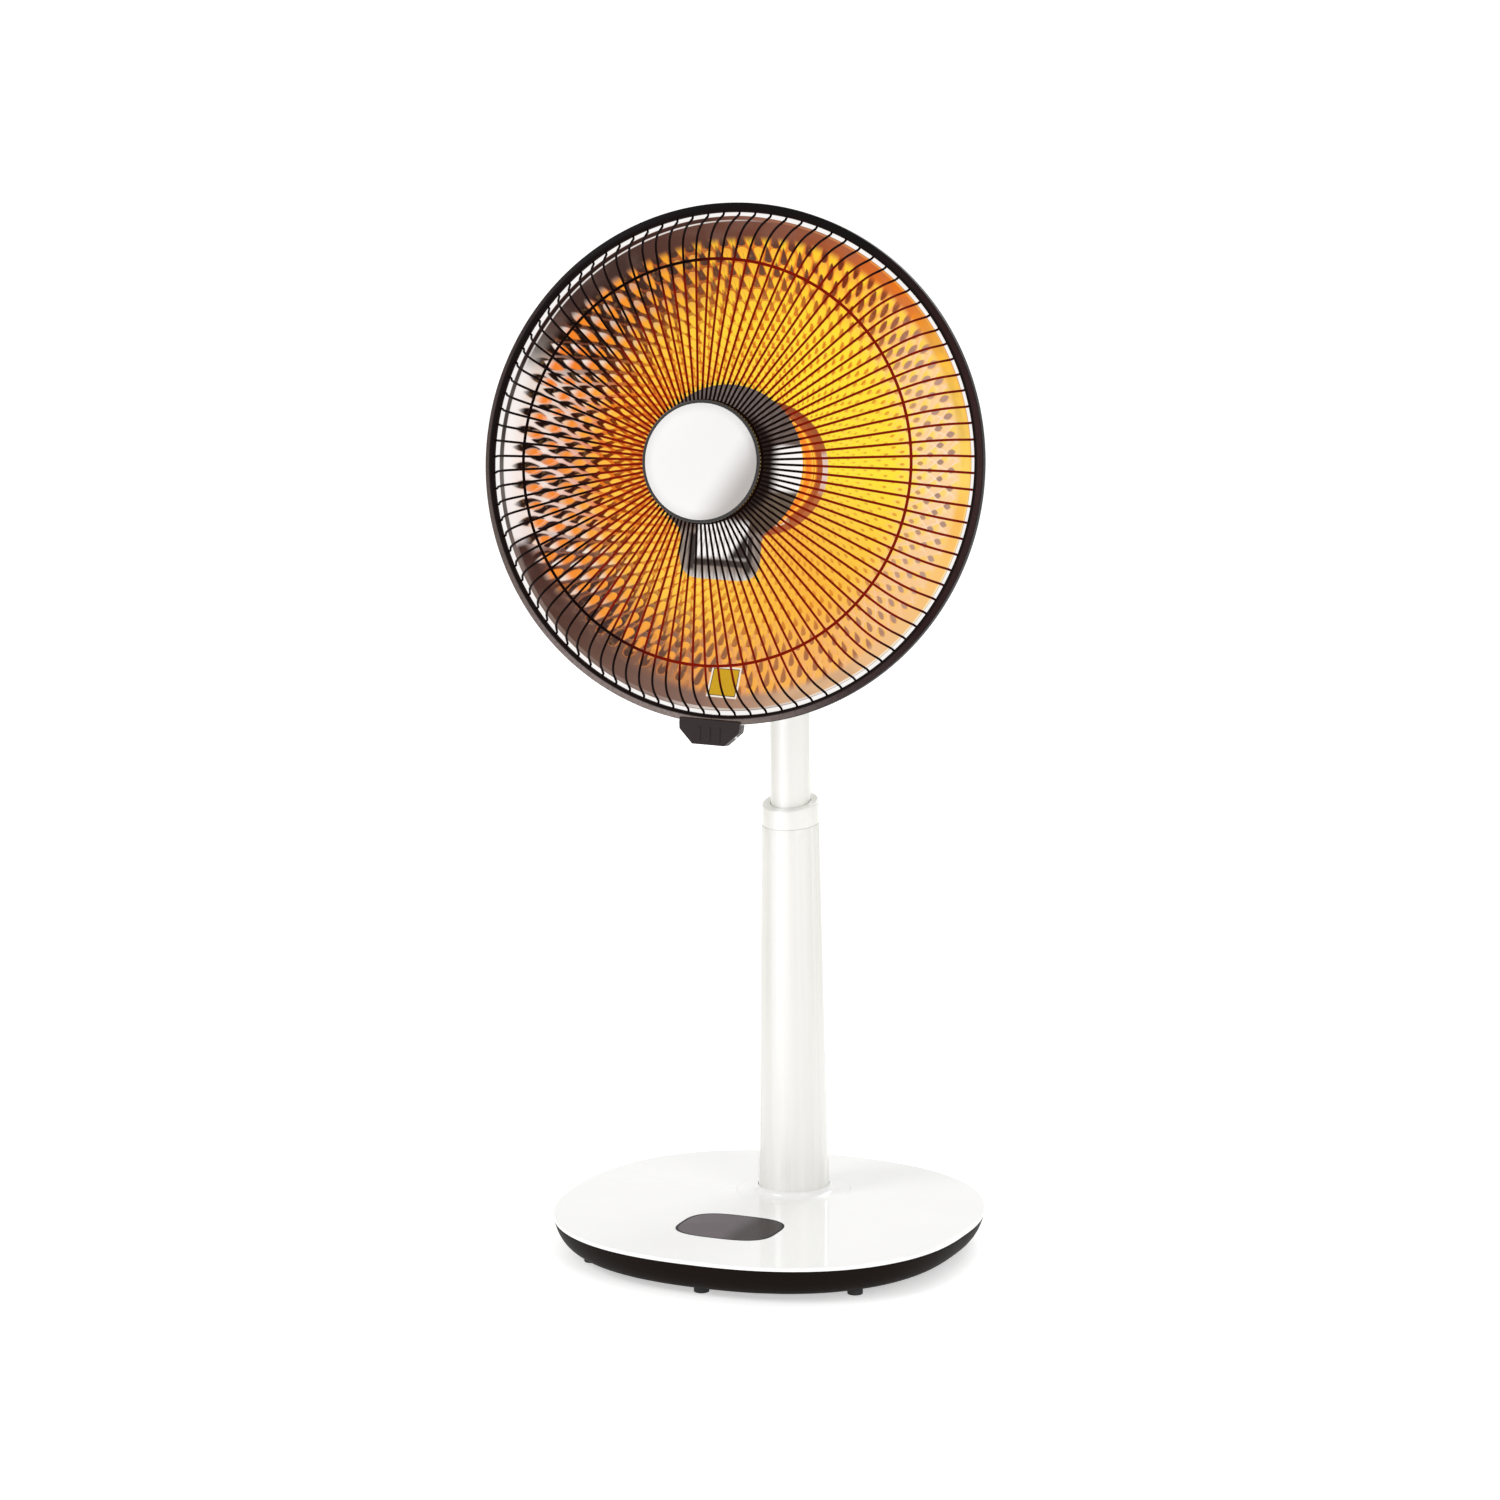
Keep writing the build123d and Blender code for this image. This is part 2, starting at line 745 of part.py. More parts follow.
with BuildPart() as column_screws:
    with BuildSketch(pole_plane(flange_top)):
        with PolarLocations(column_screw_circle, column_screw_count):
            Circle(column_screw_head_radius)
    extrude(amount=column_screw_head)
    with BuildSketch(pole_plane(flange_top)):
        with PolarLocations(column_screw_circle, column_screw_count):
            Circle(column_screw_radius)
    extrude(amount=-(column_flange + pan_wall))
column_screws.part.label = "column_screws"
export_step(column_screws.part, "parts/column_screws.step")

# Foot cover: round plate flush in the top cover, flared up to the column
with BuildPart() as foot_cover:
    with BuildSketch(pole_section):
        with BuildLine():
            flare_start = (foot_flare_radius, base_top)
            flare_end = (column_foot_radius + 2 * part_gap, taper_foot)
            flare_bend = (column_foot_radius + foot_flare_share * (foot_flare_radius - column_foot_radius),
                          base_top + foot_flare_share * foot_flare_height)
            Polyline(
                flare_end,
                (column_foot_radius + part_gap, taper_foot),
                (column_foot_radius + part_gap, base_top - foot_cover_thickness),
                (foot_cover_radius, base_top - foot_cover_thickness),
                (foot_cover_radius, base_top),
                flare_start,
            )
            ThreePointArc(flare_start, flare_bend, flare_end)
        make_face()
    revolve(axis=pole_axis)
foot_cover.part.label = "foot_cover"
export_step(foot_cover.part, "parts/foot_cover.step")

# Collar: slanted seam and top, with the tongue of the height lock at the rear
collar_top_plane = pole_plane(collar_height).rotated((collar_slope, 0, 0))
tube_clearance = tube_radius + slide_gap
lock_plane = Plane(origin=pole_foot + Vector(0, tongue_radius, button_height), x_dir=(-1, 0, 0), z_dir=(0, 1, 0))
with BuildPart() as column_collar:
    with BuildSketch(pole_section):
        with BuildLine():
            Polyline(
                (tube_clearance, spigot_top + part_gap),
                (collar_bore, spigot_top + part_gap),
                (collar_bore, seam_height - spigot_root),
                (column_top_radius, seam_height - spigot_root),
                (collar_top_radius, collar_height + spigot_height),
                (tube_clearance, collar_height + spigot_height),
                close=True,
            )
        make_face()
    revolve(axis=pole_axis)
    split(bisect_by=seam_plane.offset(part_gap), keep=Keep.TOP)
    split(bisect_by=collar_top_plane, keep=Keep.BOTTOM)
    top_rim = column_collar.faces().filter_by(collar_top_plane).edges().sort_by(SortBy.LENGTH)[-1]
    fillet(top_rim, collar_round)
    with BuildSketch(pole_plane(spigot_top + part_gap)) as tongue_section:
        Circle(tongue_radius)
        Circle(tube_clearance, mode=Mode.SUBTRACT)
        with Locations((0, tongue_radius)):
            Rectangle(2 * tongue_half_width, 2 * tongue_radius, mode=Mode.INTERSECT)
    extrude(amount=tongue_height - spigot_top - part_gap)
    fillet(column_collar.edges().group_by(Axis.Z)[-1], tongue_round)
    with BuildSketch(lock_plane):
        Circle(button_radius + slide_gap)
    extrude(amount=-(tongue_radius - tube_radius), mode=Mode.SUBTRACT)
    with BuildSketch(lock_plane.offset(-button_cap)):
        Circle(button_radius + button_flange + slide_gap)
    extrude(amount=-(tongue_radius - tube_radius), mode=Mode.SUBTRACT)
column_collar.part.label = "column_collar"
export_step(column_collar.part, "parts/column_collar.step")

# Button that frees the height lock; its flange holds it in the tongue
with BuildPart() as height_lock_button:
    with BuildSketch(lock_plane.offset(button_stand)):
        Circle(button_radius)
    extrude(amount=-button_length)
    fillet(height_lock_button.edges().group_by(Axis.Y)[-1], button_flange)
    with BuildSketch(lock_plane.offset(button_stand - button_length)):
        Circle(button_radius + button_flange)
    extrude(amount=button_flange)
height_lock_button.part.label = "height_lock_button"
export_step(height_lock_button.part, "parts/height_lock_button.step")

# Guide bush inside the spigot
with BuildPart() as guide_bush:
    with BuildSketch(pole_plane(spigot_top)):
        Circle(spigot_bore - part_gap)
        Circle(tube_clearance, mode=Mode.SUBTRACT)
    extrude(amount=-bush_length)
guide_bush.part.label = "guide_bush"
export_step(guide_bush.part, "parts/guide_bush.step")

# Telescopic tube and the ring that stops it under the bush
with BuildPart() as inner_tube:
    with BuildSketch(pole_plane(tube_foot)):
        Circle(tube_radius)
        Circle(tube_radius - tube_wall, mode=Mode.SUBTRACT)
    extrude(amount=tube_top - tube_foot)
inner_tube.part.label = "inner_tube"
export_step(inner_tube.part, "parts/inner_tube.step")

stop_ring_top = spigot_top - bush_length - slide_up - stop_ring_gap
with BuildPart() as tube_stop_ring:
    with BuildSketch(pole_plane(stop_ring_top)):
        Circle(stop_ring_radius)
        Circle(tube_radius, mode=Mode.SUBTRACT)
    extrude(amount=-stop_ring_height)
tube_stop_ring.part.label = "tube_stop_ring"
export_step(tube_stop_ring.part, "parts/tube_stop_ring.step")

# Neck: housing on the tube, swing motor under a cap
neck_ledge = neck_top - neck_cap_height
neck_bore = neck_radius - neck_wall
neck_seat_radius = neck_bore - neck_seat
with BuildPart() as neck_housing:
    with BuildSketch(pole_section):
        with BuildLine():
            Polyline(
                (tube_radius, neck_foot),
                (tube_radius + neck_socket_wall, neck_foot),
                (neck_radius, neck_shoulder),
                (neck_radius, neck_top),
                (neck_bore, neck_top),
                (neck_bore, neck_ledge),
                (neck_seat_radius, neck_ledge),
                (neck_seat_radius, tube_top + neck_floor),
                (neck_wire_hole, tube_top + neck_floor),
                (neck_wire_hole, tube_top),
                (tube_radius, tube_top),
                close=True,
            )
        make_face()
    revolve(axis=pole_axis)
neck_housing.part.label = "neck_housing"
export_step(neck_housing.part, "parts/neck_housing.step")

with BuildPart() as neck_cap:
    with BuildSketch(swing_plane(neck_ledge)):
        Circle(neck_bore - part_gap)
    extrude(amount=neck_cap_height)
    with BuildSketch(swing_plane(neck_ledge)):
        Circle(motor_nose_radius + part_gap)
    extrude(amount=motor_nose + part_gap, mode=Mode.SUBTRACT)
    with BuildSketch(swing_plane(neck_ledge)):
        Circle(swing_shaft_radius + pin_running_gap)
        with PolarLocations(motor_screw_circle, motor_screw_count):
            Circle(motor_screw_shank + part_gap)
    extrude(amount=neck_cap_height, mode=Mode.SUBTRACT)
    with BuildSketch(swing_plane(neck_top)):
        with PolarLocations(motor_screw_circle, motor_screw_count):
            Circle(motor_screw_radius + part_gap)
    extrude(amount=-(motor_screw_head + slide_gap), mode=Mode.SUBTRACT)
neck_cap.part.label = "neck_cap"
export_step(neck_cap.part, "parts/neck_cap.step")

with BuildPart() as swing_motor:
    with BuildSketch(swing_plane(neck_ledge)):
        Circle(motor_radius)
    extrude(amount=-motor_height)
    with BuildSketch(swing_plane(neck_ledge)):
        Circle(motor_nose_radius)
    extrude(amount=motor_nose)
    with BuildSketch(swing_plane(neck_ledge + motor_nose)):
        Circle(swing_shaft_radius + pin_running_gap)
    extrude(amount=-(motor_nose + yoke_shaft_sink), mode=Mode.SUBTRACT)
    with BuildSketch(swing_plane(neck_ledge)):
        with PolarLocations(motor_screw_circle, motor_screw_count):
            Circle(motor_screw_shank + part_gap)
    extrude(amount=-motor_screw_length, mode=Mode.SUBTRACT)
swing_motor.part.label = "swing_motor"
export_step(swing_motor.part, "parts/swing_motor.step")

with BuildPart() as motor_screws:
    with BuildSketch(swing_plane(neck_top - slide_gap)):
        with PolarLocations(motor_screw_circle, motor_screw_count):
            Circle(motor_screw_radius)
    extrude(amount=-motor_screw_head)
    with BuildSketch(swing_plane(neck_top - slide_gap)):
        with PolarLocations(motor_screw_circle, motor_screw_count):
            Circle(motor_screw_shank)
    extrude(amount=-(motor_screw_length + motor_screw_head))
motor_screws.part.label = "motor_screws"
export_step(motor_screws.part, "parts/motor_screws.step")

# Swivel yoke on its shaft, with the pin on which the head tilts
yoke_foot = neck_top + yoke_lift
cheek_inner = tongue_half_thickness + cheek_gap
cheek_outer = cheek_inner + cheek_thickness


def tilt_section(place):
    """Upright plane across the tilt pin; x runs to the rear and y runs up."""
    return Plane(origin=tilt_centre + swing_right * place, x_dir=swing_front * -1, z_dir=swing_right)


with BuildPart() as swivel_yoke:
    with BuildSketch(swing_plane(yoke_foot)):
        Circle(yoke_base_radius)
    extrude(amount=yoke_base)
    for place in (-cheek_outer, cheek_inner):
        with BuildSketch(tilt_section(place)):
            Circle(cheek_half_depth)
            with Locations((0, (yoke_foot - tilt_height) / 2)):
                Rectangle(2 * cheek_half_depth, tilt_height - yoke_foot)
        extrude(amount=cheek_thickness)
    with BuildSketch(tilt_section(-cheek_outer)):
        Circle(tilt_pin_radius + pin_running_gap)
    extrude(amount=2 * cheek_outer, mode=Mode.SUBTRACT)
    with BuildSketch(swing_plane(yoke_foot)):
        Circle(swing_shaft_radius + pin_running_gap)
    extrude(amount=yoke_shaft_sink, mode=Mode.SUBTRACT)
swivel_yoke.part.label = "swivel_yoke"
export_step(swivel_yoke.part, "parts/swivel_yoke.step")

with BuildPart() as swing_shaft:
    with BuildSketch(swing_plane(yoke_foot + yoke_shaft_sink)):
        Circle(swing_shaft_radius)
    extrude(amount=-(2 * yoke_shaft_sink + yoke_foot - neck_ledge - part_gap))
swing_shaft.part.label = "swing_shaft"
export_step(swing_shaft.part, "parts/swing_shaft.step")

with BuildPart() as tilt_pin:
    with BuildSketch(tilt_section(-cheek_outer)):
        Circle(tilt_pin_radius)
    extrude(amount=2 * cheek_outer)
    for place in (-cheek_outer - tilt_pin_head, cheek_outer):
        with BuildSketch(tilt_section(place)):
            Circle(tilt_pin_head_radius)
        extrude(amount=tilt_pin_head)
tilt_pin.part.label = "tilt_pin"
export_step(tilt_pin.part, "parts/tilt_pin.step")

# Bracket on the back of the head, with the tongue between the yoke's cheeks
cover_back = -cover_depth
bracket_middle = ring_centre + head_axis * (cover_back - bracket_thickness) - tilt_centre
root_rear = -bracket_middle.dot(swing_front)
root_up = bracket_middle.Z
with BuildPart() as head_bracket:
    with BuildSketch(head_plane(cover_back)):
        Circle(bracket_radius)
    extrude(amount=-bracket_thickness)
    with BuildSketch(tilt_section(-tongue_half_thickness)) as tongue_outline:
        Circle(arm_radius)
        with Locations(Location((root_rear, root_up), rest_tilt * -1)):
            Rectangle(bracket_thickness / 2, 2 * bracket_root)
        make_hull(tongue_outline.edges())
    extrude(amount=2 * tongue_half_thickness)
    split(bisect_by=head_plane(cover_back), keep=Keep.BOTTOM)
    with BuildSketch(tilt_section(-cheek_outer)):
        Circle(tilt_pin_radius + pin_running_gap)
    extrude(amount=2 * cheek_outer, mode=Mode.SUBTRACT)
    with BuildSketch(head_plane(cover_back)):
        with PolarLocations(bracket_screw_circle, bracket_screw_count, start_angle=45):
            Circle(bracket_screw_radius + part_gap)
    extrude(amount=-bracket_thickness, mode=Mode.SUBTRACT)
head_bracket.part.label = "head_bracket"
export_step(head_bracket.part, "parts/head_bracket.step")

with BuildPart() as bracket_screws:
    with BuildSketch(head_plane(cover_back - bracket_thickness)):
        with PolarLocations(bracket_screw_circle, bracket_screw_count, start_angle=45):
            Circle(bracket_screw_head_radius)
    extrude(amount=-bracket_screw_head)
    with BuildSketch(head_plane(cover_back - bracket_thickness)):
        with PolarLocations(bracket_screw_circle, bracket_screw_count, start_angle=45):
            Circle(bracket_screw_radius)
    extrude(amount=bracket_thickness + cover_wall + bracket_boss_height - part_gap)
bracket_screws.part.label = "bracket_screws"
export_step(bracket_screws.part, "parts/bracket_screws.step")

# Rear cover: vented shell with bosses for the hub plate and the bracket
hub_front = dish_foot - sheet
hub_back = hub_front - hub_thickness
cover_line = [(radius * hoop_radius, level * cover_back) for radius, level in cover_profile_shares]
cover_line.append((0, cover_back))
with BuildPart() as rear_cover:
    with BuildSketch(head_section):
        with BuildLine():
            Polyline(*cover_line, *reversed(inner_profile(cover_line, cover_wall)), close=True)
        make_face()
    revolve(axis=head_line)
    with BuildSketch(head_plane(hub_back)):
        with PolarLocations(reflector_screw_circle, reflector_screw_count, start_angle=30):
            Circle(boss_radius)
    extrude(amount=cover_back + cover_wall / 2 - hub_back)
    with BuildSketch(head_plane(cover_back + cover_wall + bracket_boss_height)):
        with PolarLocations(bracket_screw_circle, bracket_screw_count, start_angle=45):
            Circle(bracket_boss_radius)
    extrude(amount=-(bracket_boss_height + cover_wall / 2))
    with BuildSketch(head_plane(hub_back)):
        with PolarLocations(reflector_screw_circle, reflector_screw_count, start_angle=30):
            Circle(reflector_screw_radius + part_gap)
    extrude(amount=-(reflector_screw_length + part_gap), mode=Mode.SUBTRACT)
    with BuildSketch(head_plane(cover_back)):
        with PolarLocations(bracket_screw_circle, bracket_screw_count, start_angle=45):
            Circle(bracket_screw_radius + part_gap)
    extrude(amount=cover_wall + bracket_boss_height, mode=Mode.SUBTRACT)
    with BuildSketch(head_plane(cover_back)):
        with PolarLocations((vent_inner_radius + vent_outer_radius) / 2, vent_count):
            SlotOverall(vent_outer_radius - vent_inner_radius, vent_width)
    extrude(amount=cover_depth / 2, mode=Mode.SUBTRACT)
rear_cover.part.label = "rear_cover"
export_step(rear_cover.part, "parts/rear_cover.step")

# Reflector: staggered rows of diamonds, each pressed up to a point in its middle
row_ratio = (facet_inner_radius / facet_outer_radius) ** (1 / facet_rows)


def facet_point(row, column, lift_share):
    """Point of the pattern, lifted by a share of the cell's width; odd rows are staggered."""
    radius = facet_outer_radius * row_ratio ** row
    slope = radius / (2 * focal_length)
    lean = math.hypot(1, slope)
    lift = lift_share * 2 * math.pi * radius / facet_columns
    angle = 2 * math.pi * (column + (row % 2) / 2) / facet_columns
    out = radius - lift * slope / lean
    level = paraboloid(radius) + lift / lean
    return Vector(out * math.cos(angle), out * math.sin(angle), level)


def back_point(radius):
    """Point of the smooth back, behind the front surface along its normal."""
    slope = radius / (2 * focal_length)
    lean = math.hypot(1, slope)
    return (radius + dish_backing * slope / lean, paraboloid(radius) - dish_backing / lean)


facet_faces = []
for row in range(facet_rows + 1):
    for column in range(facet_columns):
        left = facet_point(row, column, 0)
        right = facet_point(row, column + 1, 0)
        apex = facet_point(row, column + 1 / 2, facet_relief_share)
        middle = column + row % 2
        top = facet_point(row - 1, middle, 0)
        bottom = facet_point(row + 1, middle, 0)
        if row == 0:
            facet_faces.append(polygon_face([left, bottom, right]))
        elif row == facet_rows:
            facet_faces.append(polygon_face([left, right, top]))
        else:
            for first, second in ((top, left), (left, bottom), (bottom, right), (right, top)):
                facet_faces.append(polygon_face([first, second, apex]))

flange_ring = ring_points(flange_radius, flange_face, facet_columns)
flange_hole = ring_points(flange_inner_radius + bead_width, flange_face, facet_columns)
band_rings = [flange_hole]
for share in band_shares:
    band_radius = flange_inner_radius + share * (facet_outer_radius - flange_inner_radius)
    band_rings.append(ring_points(band_radius, paraboloid(band_radius), facet_columns))
band_rings.append([facet_point(0, column, 0) for column in range(facet_columns)])
foot_ring = ring_points(dish_foot_radius, dish_foot, facet_columns)
lip_ring = ring_points(dish_lip_radius, dish_foot, facet_columns)
back_rings = [ring_points(flange_radius, flange_face - sheet, facet_columns)]
back_rings.append(ring_points(flange_inner_radius + 2 * bead_width, flange_face - sheet, facet_columns))
for share in dish_back_shares:
    back_radius = flange_inner_radius + share * (facet_inner_radius - flange_inner_radius)
    back_rings.append(ring_points(*back_point(back_radius), facet_columns))
back_rings.append(ring_points(dish_foot_radius + sheet, dish_foot - sheet, facet_columns))
back_rings.append(ring_points(dish_lip_radius, dish_foot - sheet, facet_columns))

skin_faces = ring_faces(flange_ring, flange_hole)
for first, second in zip(band_rings, band_rings[1:]):
    skin_faces += ring_faces(first, second)
inner_nodes = [facet_point(facet_rows, column, 0) for column in range(facet_columns)]
skin_faces += ring_faces(inner_nodes, foot_ring)
skin_faces += ring_faces(foot_ring, lip_ring)
for first, second in zip(back_rings, back_rings[1:]):
    skin_faces += ring_faces(first, second)
skin_faces += ring_faces(flange_ring, back_rings[0])
skin_faces += ring_faces(lip_ring, back_rings[-1])
dish_body = Solid(Shell(facet_faces + skin_faces))

with BuildPart(head_plane(0)) as reflector:
    add(dish_body)
reflector.part.label = "reflector"
export_step(reflector.part, "parts/reflector.step")

# Hub plate behind the reflector's lip, with slots for the lamp's tails
cap_slot_plane = head_plane(hub_front)
cap_places = [(lamp_radius, -90 + side * lamp_gap_angle) for side in (-1, 1)]
cap_locations = [Rot(0, 0, angle) * Pos(radius, 0, 0) for radius, angle in cap_places]
with BuildPart() as hub_plate:
    with BuildSketch(head_plane(hub_front)):
        Circle(hub_radius)
        with PolarLocations(reflector_screw_circle, reflector_screw_count, start_angle=30):
            Circle(reflector_screw_radius + part_gap, mode=Mode.SUBTRACT)
        with PolarLocations(post_circle, post_count, start_angle=90):
            Circle(post_radius, mode=Mode.SUBTRACT)
        with Locations(*cap_locations):
            Rectangle(2 * (cap_tail_half_length + part_gap), 2 * (cap_tail_half_width + part_gap), mode=Mode.SUBTRACT)
    extrude(amount=-hub_thickness)
hub_plate.part.label = "hub_plate"
export_step(hub_plate.part, "parts/hub_plate.step")

with BuildPart() as reflector_screws:
    with BuildSketch(head_plane(hub_front)):
        with PolarLocations(reflector_screw_circle, reflector_screw_count, start_angle=30):
            Circle(reflector_screw_head_radius)
    extrude(amount=reflector_screw_head)
    with BuildSketch(head_plane(hub_front)):
        with PolarLocations(reflector_screw_circle, reflector_screw_count, start_angle=30):
            Circle(reflector_screw_radius)
    extrude(amount=-(hub_thickness + reflector_screw_length))
reflector_screws.part.label = "reflector_screws"
export_step(reflector_screws.part, "parts/reflector_screws.step")

with BuildPart() as terminal_block:
    with BuildSketch(head_plane(hub_back)):
        Rectangle(2 * terminal_half_width, 2 * terminal_half_depth)
    extrude(amount=-terminal_height)
terminal_block.part.label = "terminal_block"
export_step(terminal_block.part, "parts/terminal_block.step")

# Ring lamp: two concentric glass tubes, open at the bottom, each leg in a ceramic cap
lamp_foot = hub_front + cap_height / 2
lamp_start = math.radians(-90 + lamp_gap_angle)
lamp_sweep = 2 * math.pi - 2 * math.radians(lamp_gap_angle)


def lamp_path(radius, foot):
    """Centre line of one tube: up a leg, round the ring and down the other leg."""
    points = []
    for step in range(lamp_steps + 1):
        angle = lamp_start + lamp_sweep * step / lamp_steps
        points.append(Vector(radius * math.cos(angle), radius * math.sin(angle), lamp_level))
    legs = []
    for end, beside in ((points[0], points[1]), (points[-1], points[-2])):
        inwards = (beside - end).normalized()
        knee = end + inwards * (lamp_bend / 2)
        drop = Vector(end.X, end.Y, lamp_level - lamp_bend / 2)
        legs.append((Vector(end.X, end.Y, foot), drop, knee))
    first = list(legs[0])
    last = list(reversed(legs[1]))
    return first + points[1:-1] + last


with BuildPart(head_plane(0)) as lamp_tubes:
    for side in (-1, 1):
        ring_radius = lamp_radius + side * lamp_pitch / 2
        glass = mitred_rod(lamp_path(ring_radius, lamp_foot), lamp_tube_radius, lamp_sides, Vector(1, 0, 0))
        bore_path = lamp_path(ring_radius, lamp_foot - overrun)
        bore = mitred_rod(bore_path, lamp_bore_radius, lamp_sides, Vector(1, 0, 0))
        add(glass)
        add(bore, mode=Mode.SUBTRACT)
lamp_tubes.part.label = "lamp_tubes"
export_step(lamp_tubes.part, "parts/lamp_tubes.step")

with BuildPart(head_plane(0)) as lamp_filaments:
    for side in (-1, 1):
        ring_radius = lamp_radius + side * lamp_pitch / 2
        coil_path = lamp_path(ring_radius, lamp_foot - cap_height / 4)
        add(mitred_rod(coil_path, filament_radius, lamp_bore_sides, Vector(1, 0, 0)))
lamp_filaments.part.label = "lamp_filaments"
export_step(lamp_filaments.part, "parts/lamp_filaments.step")

with BuildPart() as lamp_end_caps:
    with BuildSketch(head_plane(hub_front)):
        with Locations(*cap_locations):
            Rectangle(2 * cap_half_length, 2 * cap_half_width)
    extrude(amount=cap_height)
    with BuildSketch(head_plane(hub_front)):
        with Locations(*cap_locations):
            Rectangle(2 * cap_tail_half_length, 2 * cap_tail_half_width)
    extrude(amount=-(hub_thickness + cap_tail))
    with BuildSketch(head_plane(hub_front + cap_height / 4)):
        with Locations(*cap_locations):
            with GridLocations(lamp_pitch, 0, 2, 1):
                Circle(lamp_tube_radius + part_gap)
    extrude(amount=cap_height, mode=Mode.SUBTRACT)
lamp_end_caps.part.label = "lamp_end_caps"
export_step(lamp_end_caps.part, "parts/lamp_end_caps.step")

# Shield: keyhole plate with a pressed tray, on three posts
tray_run = shield_dish * math.tan(math.radians(shield_dish_slope))


def keyhole(inset):
    """Sketch of the shield's outline, moved inwards."""
    with BuildSketch(Plane.XY) as outline:
        Circle(shield_radius)
        with Locations((0, -shield_tab_end / 2)):
            Rectangle(2 * shield_tab_half_width, shield_tab_end)
        outer_corners = outline.vertices().group_by(Axis.Y)[0]
        fillet(outer_corners, shield_tab_corner)
        neck_corners = [corner for corner in outline.vertices()
                        if abs(abs(corner.X) - shield_tab_half_width) < slide_gap and corner.Y > -shield_radius]
        fillet(neck_corners, shield_neck_round)
        offset(amount=-inset)
    return outline.sketch


tray_back = shield_front - shield_dish
with BuildPart() as shield_plate:
    with BuildSketch(head_plane(shield_front)):
        add(keyhole(0))
        add(keyhole(shield_border), mode=Mode.SUBTRACT)
    extrude(amount=-shield_sheet)
    with BuildSketch(head_plane(shield_front)):
        add(keyhole(shield_border - shield_sheet))
    with BuildSketch(head_plane(tray_back - shield_sheet)):
        add(keyhole(shield_border + tray_run - shield_sheet))
    loft()
    with BuildSketch(head_plane(shield_front)):
        add(keyhole(shield_border))
    with BuildSketch(head_plane(tray_back)):
        add(keyhole(shield_border + tray_run))
    loft(mode=Mode.SUBTRACT)
shield_plate.part.label = "shield_plate"
export_step(shield_plate.part, "parts/shield_plate.step")

with BuildPart() as shield_posts:
    with BuildSketch(head_plane(hub_back)):
        with PolarLocations(post_circle, post_count, start_angle=90):
            Circle(post_radius)
    extrude(amount=tray_back - shield_sheet - hub_back)
    with BuildSketch(head_plane(hub_front)):
        with PolarLocations(post_circle, post_count, start_angle=90):
            RegularPolygon(post_nut_radius, 6)
    extrude(amount=post_nut_height)
shield_posts.part.label = "shield_posts"
export_step(shield_posts.part, "parts/shield_posts.step")

# Rim hoop: channel round the reflector and guard, split at the clip, with ears for its pin
head_down = head_right.cross(head_axis)
latch_pin_point = ring_centre + head_down * latch_pin_circle + head_axis * latch_pin_level


def clip_plane(place):
    """Plane across the clip's pin; x runs down from the head's axis and y runs forwards."""
    return Plane(origin=ring_centre + head_right * place, x_dir=head_down, z_dir=head_right * -1)


with BuildPart() as rim_hoop:
    with BuildSketch(head_section):
        with BuildLine():
            Polyline(
                (hoop_inner_radius, hoop_back),
                (hoop_radius, hoop_back),
                (hoop_radius, hoop_front),
                (hoop_inner_radius, hoop_front),
                (hoop_inner_radius, hoop_front - hoop_wall),
                (hoop_radius - hoop_wall, hoop_front - hoop_wall),
                (hoop_radius - hoop_wall, hoop_back + hoop_wall),
                (hoop_inner_radius, hoop_back + hoop_wall),
                close=True,
            )
        make_face()
    revolve(axis=head_line)
    with BuildSketch(head_plane(hoop_back)):
        with Locations((0, -hoop_radius)):
            Rectangle(hoop_split, 2 * (hoop_radius - hoop_inner_radius) + overrun)
    extrude(amount=hoop_front - hoop_back, mode=Mode.SUBTRACT)
    ear_width = latch_ear_half_width - latch_knuckle_half_width - slide_gap
    for place in (latch_ear_half_width, -latch_knuckle_half_width - slide_gap):
        with BuildSketch(clip_plane(place)) as ear_outline:
            with Locations((latch_pin_circle, latch_pin_level)):
                Circle(latch_knuckle_radius)
            with Locations((hoop_radius - latch_ear_root / 2, hoop_back + hoop_wall / 8)):
                Rectangle(latch_ear_root, hoop_wall / 4)
            make_hull(ear_outline.edges())
            with Locations((latch_pin_circle, latch_pin_level)):
                Circle(latch_pin_radius, mode=Mode.SUBTRACT)
        extrude(amount=ear_width)
rim_hoop.part.label = "rim_hoop"
export_step(rim_hoop.part, "parts/rim_hoop.step")

with BuildPart() as latch_hinge_pin:
    with BuildSketch(clip_plane(latch_ear_half_width)):
        with Locations((latch_pin_circle, latch_pin_level)):
            Circle(latch_pin_radius)
    extrude(amount=2 * latch_ear_half_width)
latch_hinge_pin.part.label = "latch_hinge_pin"
export_step(latch_hinge_pin.part, "parts/latch_hinge_pin.step")

